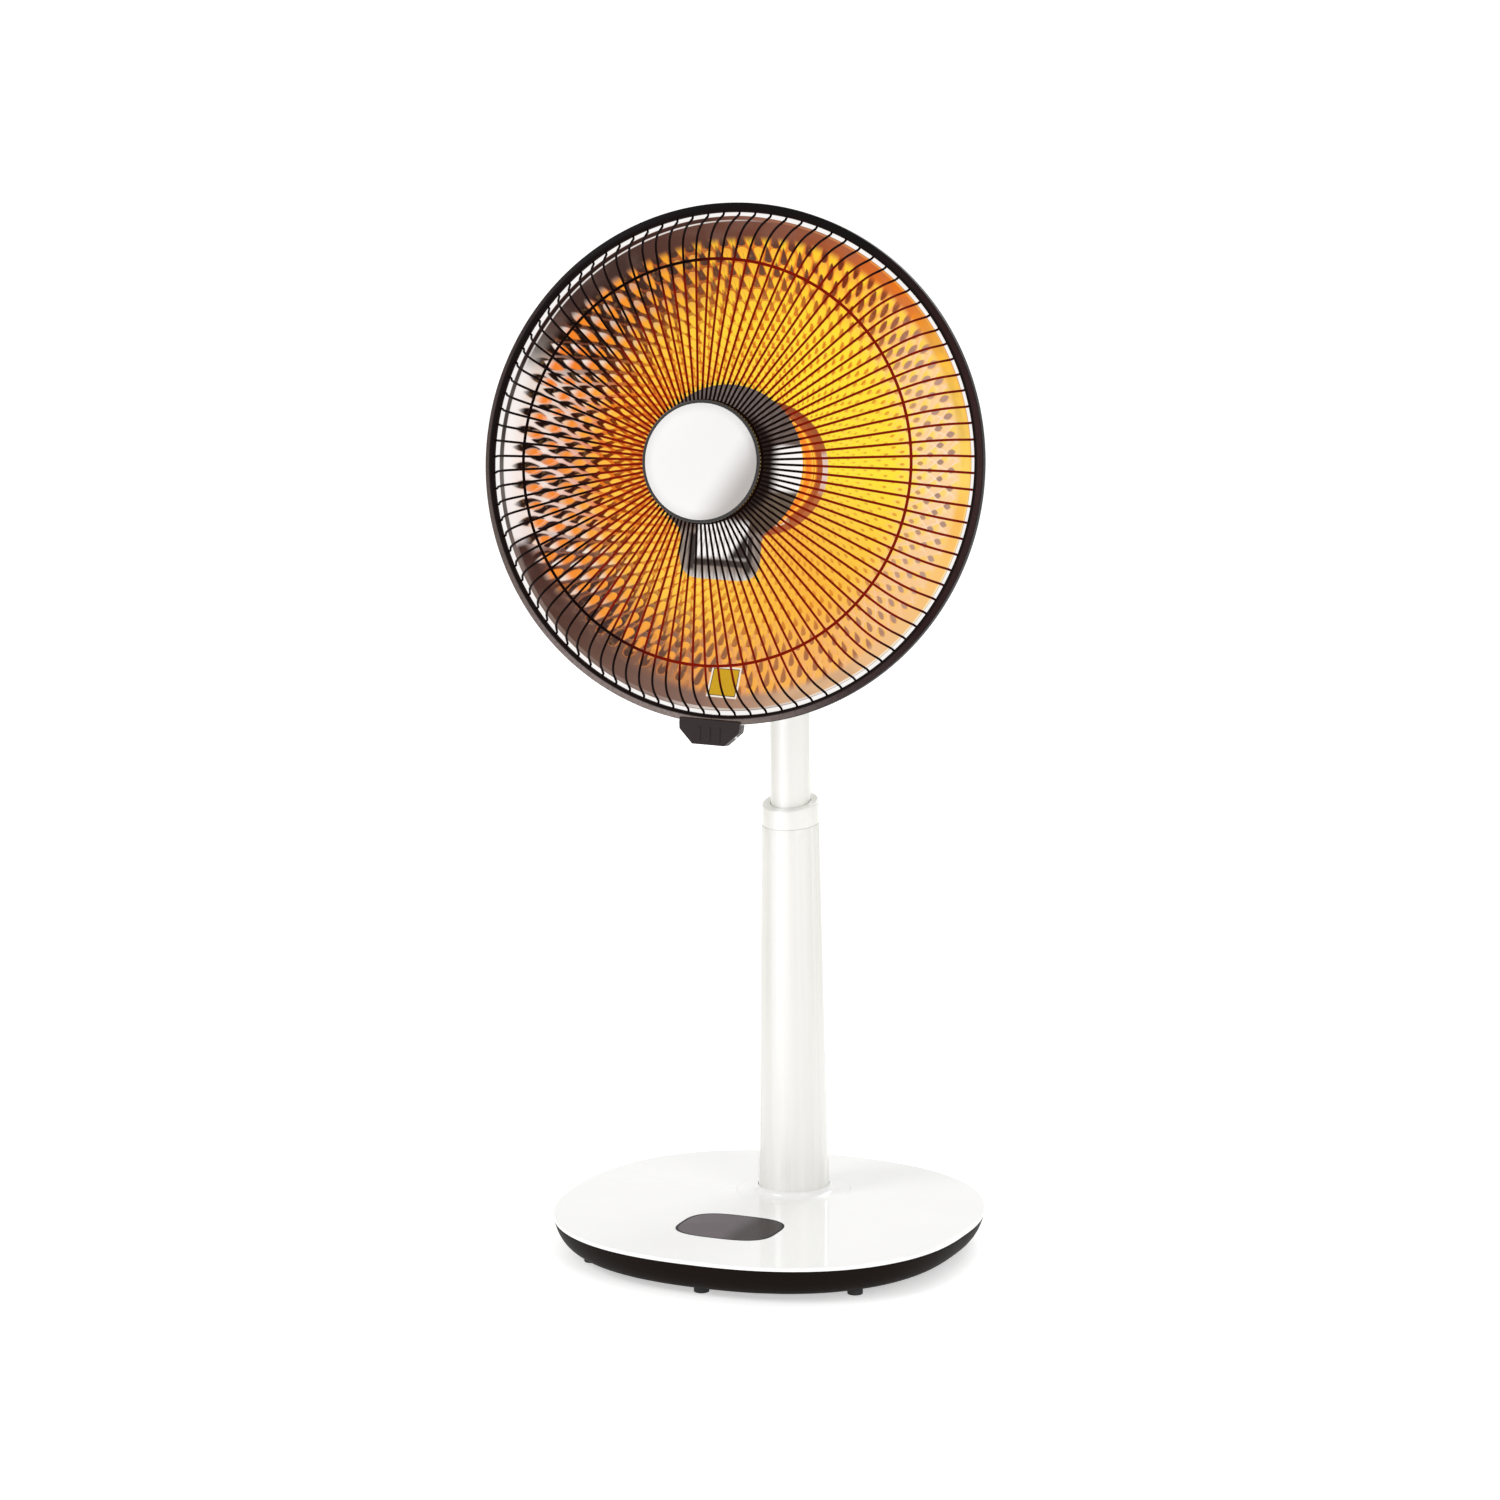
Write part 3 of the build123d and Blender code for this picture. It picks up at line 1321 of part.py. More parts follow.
# Clip: block under the hoop with a hook in front of it, hinged behind
with BuildPart() as guard_latch:
    with BuildSketch(head_plane(latch_back)):
        with BuildLine():
            Polyline(
                (-latch_top_half_width, -hoop_radius + latch_hook),
                (-latch_top_half_width, -hoop_radius - latch_clearance),
                (-latch_waist_half_width, -latch_waist),
                (-latch_foot_half_width, -latch_foot),
                (latch_foot_half_width, -latch_foot),
                (latch_waist_half_width, -latch_waist),
                (latch_top_half_width, -hoop_radius - latch_clearance),
                (latch_top_half_width, -hoop_radius + latch_hook),
                close=True,
            )
        make_face()
    extrude(amount=latch_front - latch_back)
    fillet(guard_latch.edges().filter_by(GeomType.LINE).group_by(SortBy.LENGTH)[-1], latch_round)
    with BuildSketch(head_plane(latch_back)):
        Circle(hoop_radius + latch_clearance)
    extrude(amount=hoop_front + latch_clearance - latch_back, mode=Mode.SUBTRACT)
    with BuildSketch(clip_plane(latch_knuckle_half_width)) as knuckle_outline:
        with Locations((latch_pin_circle, latch_pin_level)):
            Circle(latch_knuckle_radius)
        with Locations((latch_pin_circle + latch_knuckle_radius, latch_back + latch_knuckle_radius / 4)):
            Rectangle(2 * latch_knuckle_radius, latch_knuckle_radius / 2)
        make_hull(knuckle_outline.edges())
    extrude(amount=2 * latch_knuckle_half_width)
    with BuildSketch(clip_plane(latch_knuckle_half_width)):
        with Locations((latch_pin_circle, latch_pin_level)):
            Circle(latch_pin_radius + pin_running_gap)
    extrude(amount=2 * latch_knuckle_half_width, mode=Mode.SUBTRACT)
    with BuildSketch(head_plane(latch_front)):
        with Locations((0, -(latch_waist + latch_foot) / 2 + latch_rib_width)):
            with GridLocations(latch_rib_pitch, 0, latch_rib_count, 1):
                Rectangle(latch_rib_width, latch_foot - latch_waist)
    extrude(amount=latch_rib_proud)
    with BuildSketch(clip_plane(latch_screw_end)):
        with Locations((latch_screw_circle, latch_screw_level)):
            Circle(latch_screw_radius + pin_running_gap)
    extrude(amount=latch_screw_length + part_gap, mode=Mode.SUBTRACT)
guard_latch.part.label = "guard_latch"
export_step(guard_latch.part, "parts/guard_latch.step")

# Guard: rings and 96 bent wires
wire_path = [Vector(radius, 0, level) for radius, level in wire_line]
one_wire = mitred_rod(wire_path, wire_radius, wire_sides, Vector(0, 1, 0))
with BuildPart() as guard_wires:
    with Locations(head_plane(0)):
        with PolarLocations(0, wire_count, start_angle=wire_phase_share * 360 / wire_count):
            add(one_wire)
guard_wires.part.label = "guard_wires"
export_step(guard_wires.part, "parts/guard_wires.step")

with BuildPart() as guard_outer_ring:
    with BuildSketch(head_section):
        with Locations((ring_wire_circle, wire_line[0][1] - wire_radius - ring_wire_radius)):
            RegularPolygon(ring_wire_radius, lamp_bore_sides)
    revolve(axis=head_line)
guard_outer_ring.part.label = "guard_outer_ring"
export_step(guard_outer_ring.part, "parts/guard_outer_ring.step")

with BuildPart() as guard_mid_ring:
    with BuildSketch(head_section):
        with Locations((mid_ring_radius, guard_level(mid_ring_radius) - wire_radius - mid_wire_radius - part_gap)):
            RegularPolygon(mid_wire_radius, lamp_bore_sides)
    revolve(axis=head_line)
guard_mid_ring.part.label = "guard_mid_ring"
export_step(guard_mid_ring.part, "parts/guard_mid_ring.step")

# Centre of the guard: clamp plate behind the wires, black carrier in front, domed badge
plate_front = guard_level(centre_plate_radius) - wire_radius
carrier_back = guard_height + wire_radius
with BuildPart() as guard_centre_plate:
    with BuildSketch(head_section):
        with BuildLine():
            Polyline(
                (0, plate_front - centre_plate_thickness),
                (centre_plate_radius, plate_front - centre_plate_thickness),
                (centre_plate_radius, plate_front),
                (centre_stem_radius, plate_front),
                (centre_stem_radius, carrier_back),
                (0, carrier_back),
                close=True,
            )
        make_face()
    revolve(axis=head_line)
guard_centre_plate.part.label = "guard_centre_plate"
export_step(guard_centre_plate.part, "parts/guard_centre_plate.step")

with BuildPart() as badge_carrier:
    with BuildSketch(head_section):
        with BuildLine():
            Polyline(
                (0, carrier_back),
                (carrier_radius, carrier_back),
                (carrier_radius, badge_back + carrier_rim),
                (carrier_radius - carrier_wall, badge_back + carrier_rim),
                (carrier_radius - carrier_wall, badge_back),
                (0, badge_back),
                close=True,
            )
        make_face()
    revolve(axis=head_line)
badge_carrier.part.label = "badge_carrier"
export_step(badge_carrier.part, "parts/badge_carrier.step")

badge_sphere = (badge_radius ** 2 + badge_dome ** 2) / (2 * badge_dome)
with BuildPart() as centre_badge:
    with BuildSketch(head_section):
        with BuildLine():
            dome_rim = (badge_radius, badge_back + badge_edge)
            dome_top = (0, badge_back + badge_edge + badge_dome)
            dome_sag = badge_sphere - math.sqrt(badge_sphere ** 2 - badge_radius ** 2 / 4)
            dome_flank = (badge_radius / 2, badge_back + badge_edge + badge_dome - dome_sag)
            Polyline(dome_top, (0, badge_back), (badge_radius, badge_back), dome_rim)
            ThreePointArc(dome_rim, dome_flank, dome_top)
        make_face()
    revolve(axis=head_line)
centre_badge.part.label = "centre_badge"
export_step(centre_badge.part, "parts/centre_badge.step")

with BuildPart() as latch_screw:
    with BuildSketch(clip_plane(latch_screw_end)):
        with Locations((latch_screw_circle, latch_screw_level)):
            Circle(latch_screw_radius)
    extrude(amount=latch_screw_length)
latch_screw.part.label = "latch_screw"
export_step(latch_screw.part, "parts/latch_screw.step")
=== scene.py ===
"""Looks of a free-standing parabolic heater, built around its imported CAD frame."""

import math

import bmesh
import bpy
from bpy.props import (BoolProperty, FloatProperty, FloatVectorProperty, IntProperty,
                       PointerProperty)
from bpy.types import Operator, Panel, PropertyGroup
from mathutils import Matrix, Vector


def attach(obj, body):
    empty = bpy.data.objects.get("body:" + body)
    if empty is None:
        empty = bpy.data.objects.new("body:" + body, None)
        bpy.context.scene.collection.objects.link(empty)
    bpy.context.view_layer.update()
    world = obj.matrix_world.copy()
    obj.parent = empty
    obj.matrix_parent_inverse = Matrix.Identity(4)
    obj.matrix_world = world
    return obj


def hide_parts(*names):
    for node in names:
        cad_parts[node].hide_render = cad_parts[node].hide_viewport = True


bl_info = {
    "name": "Parabolic heater",
    "version": (1, 0, 0),
    "blender": (4, 5, 0),
    "location": "3D View > Sidebar > Heater",
    "description": "Builds the finishes and fine forms of a parabolic heater",
    "category": "Object",
}

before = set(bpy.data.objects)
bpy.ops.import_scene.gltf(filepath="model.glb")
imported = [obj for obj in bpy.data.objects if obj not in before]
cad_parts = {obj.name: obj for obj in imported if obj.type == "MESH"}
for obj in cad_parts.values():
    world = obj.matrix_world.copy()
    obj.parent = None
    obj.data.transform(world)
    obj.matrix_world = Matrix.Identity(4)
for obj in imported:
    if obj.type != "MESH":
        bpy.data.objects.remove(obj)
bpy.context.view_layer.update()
MM = 0.001
PER_METRE = 1000
TURN = 2 * math.pi


def axes(right, top, front, place):
    """Matrix that turns the local axes to three directions and moves them to a place."""
    rows = [(right[i], top[i], front[i], place[i]) for i in range(3)]
    return Matrix((*rows, (0, 0, 0, 1)))


# Outer radii of the hoop and the badge in millimetres, and the count of guard wires
HOOP_RIM = 200.0
BADGE_RIM = 43.9
GUARD_WIRES = 96
# Frames of the head and of the pole, as the CAD has them
SWING = math.radians(6.2)
TILT = math.radians(6.7)
ROLL = math.radians(2.7)
SWING_RIGHT = Vector((math.cos(SWING), math.sin(SWING), 0))
SWING_FRONT = Vector((math.sin(SWING), -math.cos(SWING), 0))
HEAD_AXIS = SWING_FRONT * math.cos(TILT) + Vector((0, 0, math.sin(TILT)))
HEAD_UP = Vector((0, 0, math.cos(TILT))) - SWING_FRONT * math.sin(TILT)
HEAD_RIGHT = SWING_RIGHT * math.cos(ROLL) - HEAD_UP * math.sin(ROLL)
HEAD_TOP = HEAD_AXIS.cross(HEAD_RIGHT)
POLE_FOOT = Vector((0, 52.8, 0)) * MM
HEAD_REACH = 0.1576
HEAD_HEIGHT = 0.65145
RING_CENTRE = POLE_FOOT + SWING_FRONT * HEAD_REACH + Vector((0, 0, HEAD_HEIGHT))
HEAD = axes(HEAD_RIGHT, HEAD_TOP, HEAD_AXIS, RING_CENTRE)

# Camera that was fitted to the photograph: angles, distance, height, step aside, lens and sensor
VIEW_TURN = math.radians(23.28)
VIEW_PITCH = math.radians(-9.47)
VIEW_LEAN = math.radians(-0.60)
VIEW_DISTANCE = 2.86458
VIEW_HEIGHT = 0.88992
VIEW_ASIDE = 0.01203
VIEW_LENS = 86.4
VIEW_SENSOR = 36.0
VIEW_REACH = 60.0
FLOOR_RADII = (0.6, 1.4, 3.0, 7.0, 16.0)
FLOOR_SIDES = 64
FLOOR_DROP = 0.0002
# Strength of the surroundings as light, and what they gain where they are seen or mirrored
SKY_LIGHT = 0.62
SKY_SEEN = 0.5
SKY_MIRRORED = 0.42
# Name, place, what it points at, size and power of each lamp of the studio
STUDIO = (
    ("key", (-2.6, -3.0, 3.2), (0, 0, 0.4), 2.4, 62.0),
    ("fill", (3.2, -2.2, 2.0), (0, 0, 0.4), 2.6, 30.0),
    ("rear", (0.4, 3.0, 2.6), (0, 0, 0.5), 2.6, 40.0))


def millimetres(name, text, value):
    """Property for a length that is given in millimetres."""
    return FloatProperty(name=name, description=text, default=value * MM, unit="LENGTH",
                         precision=5)


def paint(name, text, value):
    """Property for a colour."""
    return FloatVectorProperty(name=name, description=text, default=value, subtype="COLOR",
                               size=3, min=0, max=4)


class DishSizes(PropertyGroup):
    """Sizes of the reflector."""
    focal: millimetres("Focal length", "Focal length of the dish", 96)
    flange_radius: millimetres("Flange radius", "Outer radius of the flat flange", 196.6)
    flange_level: millimetres("Flange level", "Flange's front face from the hoop's plane", -4.4)
    bowl_radius: millimetres("Bowl radius", "Radius where the bowl begins", 188)
    facet_outer: millimetres("Outer facets", "Radius where the pattern begins", 176)
    facet_inner: millimetres("Inner facets", "Radius where the pattern ends", 53)
    columns: IntProperty(name="Columns", description="Facets round the dish", default=77)
    rows: IntProperty(name="Rows", description="Staggered rows of facets", default=18)
    relief: FloatProperty(name="Relief", description="Height of a facet as a share of its width",
                          default=0.15)


class GuardSizes(PropertyGroup):
    """Sizes of the wire guard and its badge."""
    wires: IntProperty(name="Wires", description="Wires in the guard", default=GUARD_WIRES)
    phase: FloatProperty(name="Phase", description="Turn of the first wire, in wire spacings",
                         default=0.45)
    wire_radius: millimetres("Wire radius", "Radius of a guard wire", 0.92)
    mid_radius: millimetres("Middle ring", "Radius of the middle ring", 153.9)
    hoop_radius: millimetres("Hoop radius", "Outer radius of the rim hoop", HOOP_RIM)
    badge_radius: millimetres("Badge radius", "Radius of the centre badge", BADGE_RIM)


class LampSizes(PropertyGroup):
    """Sizes of the ring lamp."""
    ring_radius: millimetres("Ring radius", "Radius between the two tubes", 40.5)
    pitch: millimetres("Tube pitch", "Distance between the tubes", 6.7)
    tube_radius: millimetres("Tube radius", "Radius of the glass", 3.1)
    level: millimetres("Level", "Level of the ring from the hoop's plane", -70)


class Colours(PropertyGroup):
    """Colours of the finishes."""
    white: paint("White", "Glossy white plastic", (0.78, 0.775, 0.755))
    black: paint("Black", "Hoop and trim", (0.008, 0.005, 0.005))
    clip: paint("Clip", "Clip under the hoop", (0.017, 0.010, 0.010))
    wire: paint("Wire", "Guard wires", (0.004, 0.001, 0.001))
    window: paint("Window", "Display window", (0.120, 0.100, 0.110))
    badge: paint("Badge", "Centre badge", (0.77, 0.76, 0.76))
    plate: paint("Plate", "Blank plate on the dish", (0.44, 0.26, 0.01))


class HeaterSettings(PropertyGroup):
    """All settings of the heater."""
    dish: PointerProperty(type=DishSizes)
    guard: PointerProperty(type=GuardSizes)
    lamp: PointerProperty(type=LampSizes)
    colours: PointerProperty(type=Colours)
    show_plate: BoolProperty(name="Blank plate", description="Keep the blank yellow plate",
                             default=True)


class Value:
    """Number that changes over a surface. Its operators add Math nodes."""

    def __init__(self, tree, socket):
        self.tree = tree
        self.socket = socket

    def maths(self, operation, *others):
        """This number and others through a Math node."""
        return self.tree.add("ShaderNodeMath", {"operation": operation},
                             dict(enumerate((self,) + others)))

    def swapped(self, operation, other):
        """Another number first, then this one."""
        return self.tree.add("ShaderNodeMath", {"operation": operation}, {0: other, 1: self})

    def __add__(self, other):
        return self.maths("ADD", other)

    def __sub__(self, other):
        return self.maths("SUBTRACT", other)

    def __mul__(self, other):
        return self.maths("MULTIPLY", other)

    def __truediv__(self, other):
        return self.maths("DIVIDE", other)

    def __radd__(self, other):
        return self.swapped("ADD", other)

    def __rsub__(self, other):
        return self.swapped("SUBTRACT", other)

    def __rmul__(self, other):
        return self.swapped("MULTIPLY", other)

    def __rtruediv__(self, other):
        return self.swapped("DIVIDE", other)

    def smooth(self, low, high):
        """0 below low and 1 above high, with a soft step between."""
        return self.tree.add("ShaderNodeMapRange", {"interpolation_type": "SMOOTHSTEP"},
                             {"Value": self, "From Min": low, "From Max": high})

    def band(self, low, high, edge):
        """1 between low and high, with soft edges."""
        return self.smooth(low - edge, low + edge) * (1 - self.smooth(high - edge, high + edge))


class Nodes:
    """Node tree with one method that adds any node."""

    def __init__(self, tree):
        self.tree = tree

    def add(self, kind, settings=None, values=None, out=0):
        """Adds a node, makes its settings, then sets or links its sockets."""
        node = self.tree.nodes.new(kind)
        for key, value in (settings or {}).items():
            if key == "stops":
                ramp = node.color_ramp
                while len(ramp.elements) < len(value):
                    ramp.elements.new(0.5)
                for element, (place, colour) in zip(ramp.elements, value):
                    element.position = place
                    element.color = colour
            else:
                setattr(node, key, value)
        for key, value in (values or {}).items():
            self.join(node.inputs[key], value)
        return Value(self, node.outputs[out])

    def join(self, socket, value):
        """Links a socket to a value, or sets it."""
        if isinstance(value, Value):
            self.tree.links.new(value.socket, socket)
        elif hasattr(value, "__len__") and len(value) == 3 and socket.type == "RGBA":
            socket.default_value = (*value, 1)
        else:
            socket.default_value = value

    def mix(self, share, first, second):
        """Colour between two colours."""
        return self.add("ShaderNodeMix", {"data_type": "RGBA"}, {0: share, 6: first, 7: second},
                        out=2)

    def point(self):
        """Object coordinates in metres."""
        return self.add("ShaderNodeTexCoord", out=3)

    def along(self, origin, *directions):
        """Distances from an origin along directions, in millimetres."""
        place = self.add("ShaderNodeVectorMath", {"operation": "SUBTRACT"},
                         {0: self.point(), 1: tuple(origin)})
        return [self.add("ShaderNodeVectorMath", {"operation": "DOT_PRODUCT"},
                         {0: place, 1: tuple(Vector(direction) * PER_METRE)}, out=1)
                for direction in directions]

    def split(self, vector):
        """The three numbers of a vector or a colour."""
        parts = self.add("ShaderNodeSeparateXYZ", None, {0: vector})
        return [Value(self, parts.socket.node.outputs[index]) for index in range(3)]

    def noise(self, scale, detail):
        """Noise over the object's own coordinates."""
        return self.add("ShaderNodeTexNoise", None,
                        {"Scale": scale, "Detail": detail, "Vector": self.point()})


def surface(name, **sockets):
    """Material with a Principled surface; returns it with its nodes."""
    material = bpy.data.materials.new(name)
    material.use_nodes = True
    tree = material.node_tree
    tree.nodes.clear()
    nodes = Nodes(tree)
    output = tree.nodes.new("ShaderNodeOutputMaterial")
    shader = tree.nodes.new("ShaderNodeBsdfPrincipled")
    tree.links.new(shader.outputs[0], output.inputs[0])
    for key, value in sockets.items():
        nodes.join(shader.inputs[key.replace("_", " ")], value)
    material["shader"] = shader.name
    return material, nodes


def feed(material, nodes, **sockets):
    """Sets or links more sockets of a material's surface."""
    shader = material.node_tree.nodes[material["shader"]]
    for key, value in sockets.items():
        nodes.join(shader.inputs[key.replace("_", " ")], value)
    return material


def bumped(nodes, height, strength, distance=0.001):
    """Normal from a height."""
    return nodes.add("ShaderNodeBump", None,
                     {"Height": height, "Strength": strength, "Distance": distance})


def grained(name, scale, detail, tones, rough, bump=None, step=None, **sockets):
    """Finish whose tone follows a fine noise, as its roughness does from a base by a spread."""
    material, nodes = surface(name, **sockets)
    grain = nodes.noise(scale, detail)
    if bump:
        feed(material, nodes, Normal=bumped(nodes, grain, *bump))
    share = grain.smooth(*step) if step else grain
    return feed(material, nodes, Base_Color=nodes.mix(share, *tones),
                Roughness=rough[0] + grain * rough[1])


# Finishes that take no colour from the settings
PLAIN = {
    "black_matt": dict(scale=1300.0, detail=3.0,
                       tones=((0.005, 0.0028, 0.002), (0.01, 0.006, 0.0045)),
                       rough=(0.42, 0.2), bump=(0.15, 0.0003), Specular_IOR_Level=0.05),
    "foot_rubber": dict(scale=1500.0, detail=3.0, tones=((0.012, 0.012, 0.012), (0.03, 0.03, 0.03)),
                        rough=(0.7, 0.2), bump=(0.3, 0.0003), IOR=1.5),
    "turned_steel": dict(scale=2200.0, detail=2.0, tones=((0.5, 0.5, 0.5), (0.66, 0.65, 0.63)),
                         rough=(0.22, 0.16), Metallic=1.0),
    "dull_metal": dict(scale=700.0, detail=4.0, tones=((0.16, 0.16, 0.165), (0.3, 0.3, 0.3)),
                       rough=(0.5, 0.2), bump=(0.25, 0.0004), Metallic=0.7),
    "white_ceramic": dict(scale=900.0, detail=3.0, tones=((0.72, 0.68, 0.6), (0.82, 0.79, 0.72)),
                          rough=(0.55, 0.2), IOR=1.5),
    "board_green": dict(scale=500.0, detail=2.0, tones=((0.02, 0.12, 0.05), (0.03, 0.18, 0.07)),
                        rough=(0.3, 0.15), step=(0.45, 0.55), IOR=1.5),
    "natural_plastic": dict(scale=600.0, detail=2.0, tones=((0.7, 0.68, 0.62), (0.78, 0.76, 0.7)),
                            rough=(0.4, 0.15), IOR=1.5),
}


def plain(name):
    """A plain finish, which is made once."""
    return bpy.data.materials.get(name) or grained(name, **PLAIN[name])


def shaded(colour, factor):
    """A colour whose channels are multiplied."""
    return tuple(channel * factor for channel in colour)


def white_plastic(colours):
    """Glossy white moulded plastic with a faint unevenness."""
    material, nodes = surface("white_plastic", IOR=1.5, Coat_Weight=0.35, Coat_Roughness=0.06)
    cloud = nodes.noise(14.0, 2.0)
    tone = nodes.mix(cloud.smooth(0.3, 0.75), tuple(colours.white), shaded(colours.white, 0.975))
    return feed(material, nodes, Base_Color=tone, Roughness=0.16 + cloud * 0.08,
                Normal=bumped(nodes, nodes.noise(900.0, 1.0), 0.02, 0.0002))


def black_gloss(colours):
    """Semi-gloss black moulding."""
    return grained("black_gloss", 600.0, 2.0, (tuple(colours.black), tuple(colours.black)),
                   (0.26, 0.1), (0.05, 0.0002), IOR=1.5, Coat_Weight=0.2, Coat_Roughness=0.15)


def clip_plastic(colours):
    """Warm dark grey plastic of the clip."""
    return grained("clip_plastic", 900.0, 3.0, (tuple(colours.clip), shaded(colours.clip, 1.25)),
                   (0.4, 0.12), (0.1, 0.0003), Specular_IOR_Level=0.25)


def linked(name, data):
    """Object at the origin, in the scene."""
    target = bpy.data.objects.new(name, data)
    bpy.context.scene.collection.objects.link(target)
    return target


# Distance under which points merge, in metres
WELD = 0.000001
# Largest share of a side that a rounded corner takes, in an outline and in a bent path
MOST_ROUND = 0.48
MOST_BENT = 0.49
# Half the angle at a corner from which it counts as straight
STRAIGHT = math.radians(89)
# Crease angles in degrees of turned and of softened bodies
TURNED_CREASE = 40
SOFTENED_CREASE = 50
# Triangles of a CAD node within this angle make one face, which is flat shaded from 7 corners on
FLAT_WITHIN = math.radians(2)
FLAT_FROM = 7
# Shield in millimetres: radius of its disc, half the width of its tab, the tab's reach below
# the centre, then its corner, how that tightens inwards, its least, and the soft inner corner
KEYHOLE = (61.0, 32.5, 88.5)
KEYHOLE_CORNER = 15.0
KEYHOLE_TIGHTER = 0.8
KEYHOLE_LEAST = 2.0
KEYHOLE_SOFT = 7.0


def set_finish(target, material):
    """Gives an object one material."""
    target.data.materials.clear()
    target.data.materials.append(material)
    return target


def piece(name, points, faces, matrix, material, smooth=True):
    """Object at the origin whose mesh is put in place by a matrix."""
    mesh = bpy.data.meshes.new(name)
    mesh.from_pydata([matrix @ Vector(p) for p in points], [], faces)
    mesh.update()
    target = linked(name, mesh)
    tidy = bmesh.new()
    tidy.from_mesh(mesh)
    bmesh.ops.remove_doubles(tidy, verts=tidy.verts, dist=WELD)
    bmesh.ops.recalc_face_normals(tidy, faces=tidy.faces)
    tidy.to_mesh(mesh)
    tidy.free()
    set_finish(target, material)
    for polygon in mesh.polygons:
        polygon.use_smooth = smooth
    return target


def mount(target, body, slot, *nodes):
    """Piece rides on a body and stands for CAD nodes; its slot is not used."""
    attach(target, body)
    if nodes:
        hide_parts(*nodes)
    return target


def apply_modifiers(target):
    """Turns what the modifiers make into the object's own mesh."""
    bpy.context.view_layer.update()
    graph = bpy.context.evaluated_depsgraph_get()
    mesh = bpy.data.meshes.new_from_object(target.evaluated_get(graph))
    target.modifiers.clear()
    target.data = mesh
    return target


def sharp_edges(target, angle):
    """Smooth shading with creases over an angle."""
    for polygon in target.data.polygons:
        polygon.use_smooth = True
    edges = bmesh.new()
    edges.from_mesh(target.data)
    for edge in edges.edges:
        if len(edge.link_faces) == 2 and edge.calc_face_angle(0) > math.radians(angle):
            edge.smooth = False
    edges.to_mesh(target.data)
    edges.free()
    return target


def turned(name, outline, steps, material, closed=True, start=0.0, sweep=TURN):
    """Body turned about the head's axis, from (radius, height) points in millimetres."""
    full = abs(sweep - TURN) < 0.0001
    count = steps if full else steps + 1
    points = []
    for step in range(count):
        around = start + sweep * step / steps
        for radius, height in outline:
            points.append((radius * MM * math.cos(around), radius * MM * math.sin(around),
                           height * MM))
    span = len(outline)
    faces = []
    for step in range(steps):
        after = (step + 1) % count
        for index in range(span if closed else span - 1):
            other = (index + 1) % span
            faces.append((step * span + index, after * span + index,
                          after * span + other, step * span + other))
    if not full and closed:
        faces.append(tuple(range(span)))
        faces.append(tuple(reversed(range((count - 1) * span, count * span))))
    target = piece(name, points, faces, HEAD, material)
    clean_faces(target)
    return sharp_edges(target, TURNED_CREASE)


def clean_faces(target):
    """Drops faces that shrank to nothing where a profile touches its axis."""
    mesh = bmesh.new()
    mesh.from_mesh(target.data)
    bmesh.ops.dissolve_degenerate(mesh, edges=mesh.edges, dist=WELD / 2)
    bmesh.ops.recalc_face_normals(mesh, faces=mesh.faces)
    mesh.to_mesh(target.data)
    mesh.free()


def eased(before, corner, after, reach, steps):
    """Points of a soft corner between two sides, from a reach along each."""
    first = corner + (before - corner).normalized() * reach
    last = corner + (after - corner).normalized() * reach
    points = []
    for step in range(steps + 1):
        share = step / steps
        blend = first * (1 - share) ** 2 + corner * 2 * share * (1 - share) + last * share ** 2
        points.append(tuple(blend))
    return points


def rounded(outline, radius, steps=4):
    """Closed outline whose corners are rounded; a radius may be given for each corner."""
    result = []
    count = len(outline)
    for index in range(count):
        corner = Vector(outline[index])
        before = Vector(outline[index - 1])
        after = Vector(outline[(index + 1) % count])
        size = radius[index] if isinstance(radius, (list, tuple)) else radius
        half = (before - corner).normalized().angle((after - corner).normalized()) / 2
        if size <= 0 or half > STRAIGHT:
            result.append(tuple(corner))
            continue
        reach = min(size / math.tan(half), (before - corner).length * MOST_ROUND,
                    (after - corner).length * MOST_ROUND)
        result += eased(before, corner, after, reach, steps)
    return result


def evened(points, count):
    """The same closed outline with evenly spaced points."""
    closed = points + [points[0]]
    lengths = [0.0]
    for first, second in zip(closed, closed[1:]):
        lengths.append(lengths[-1] + math.dist(first, second))
    result = []
    index = 0
    for step in range(count):
        wanted = lengths[-1] * step / count
        while lengths[index + 1] < wanted:
            index += 1
        share = (wanted - lengths[index]) / max(lengths[index + 1] - lengths[index], 1e-9)
        ends = zip(closed[index], closed[index + 1])
        result.append(tuple(a + (b - a) * share for a, b in ends))
    return result


def skin(rings, sides):
    """Quads between closed rings that follow each other."""
    faces = []
    for low in range(0, (rings - 1) * sides, sides):
        for step in range(sides):
            after = (step + 1) % sides
            faces.append((low + step, low + after, low + sides + after, low + sides + step))
    return faces


def stacked(name, rings, material, angle=35):
    """Closed body through rings with as many points, in millimetres on the head."""
    points = [tuple(c * MM for c in point) for ring in rings for point in ring]
    count = len(rings[0])
    faces = skin(len(rings), count)
    faces.append(tuple(reversed(range(count))))
    faces.append(tuple(range(len(points) - count, len(points))))
    return sharp_edges(piece(name, points, faces, HEAD, material), angle)


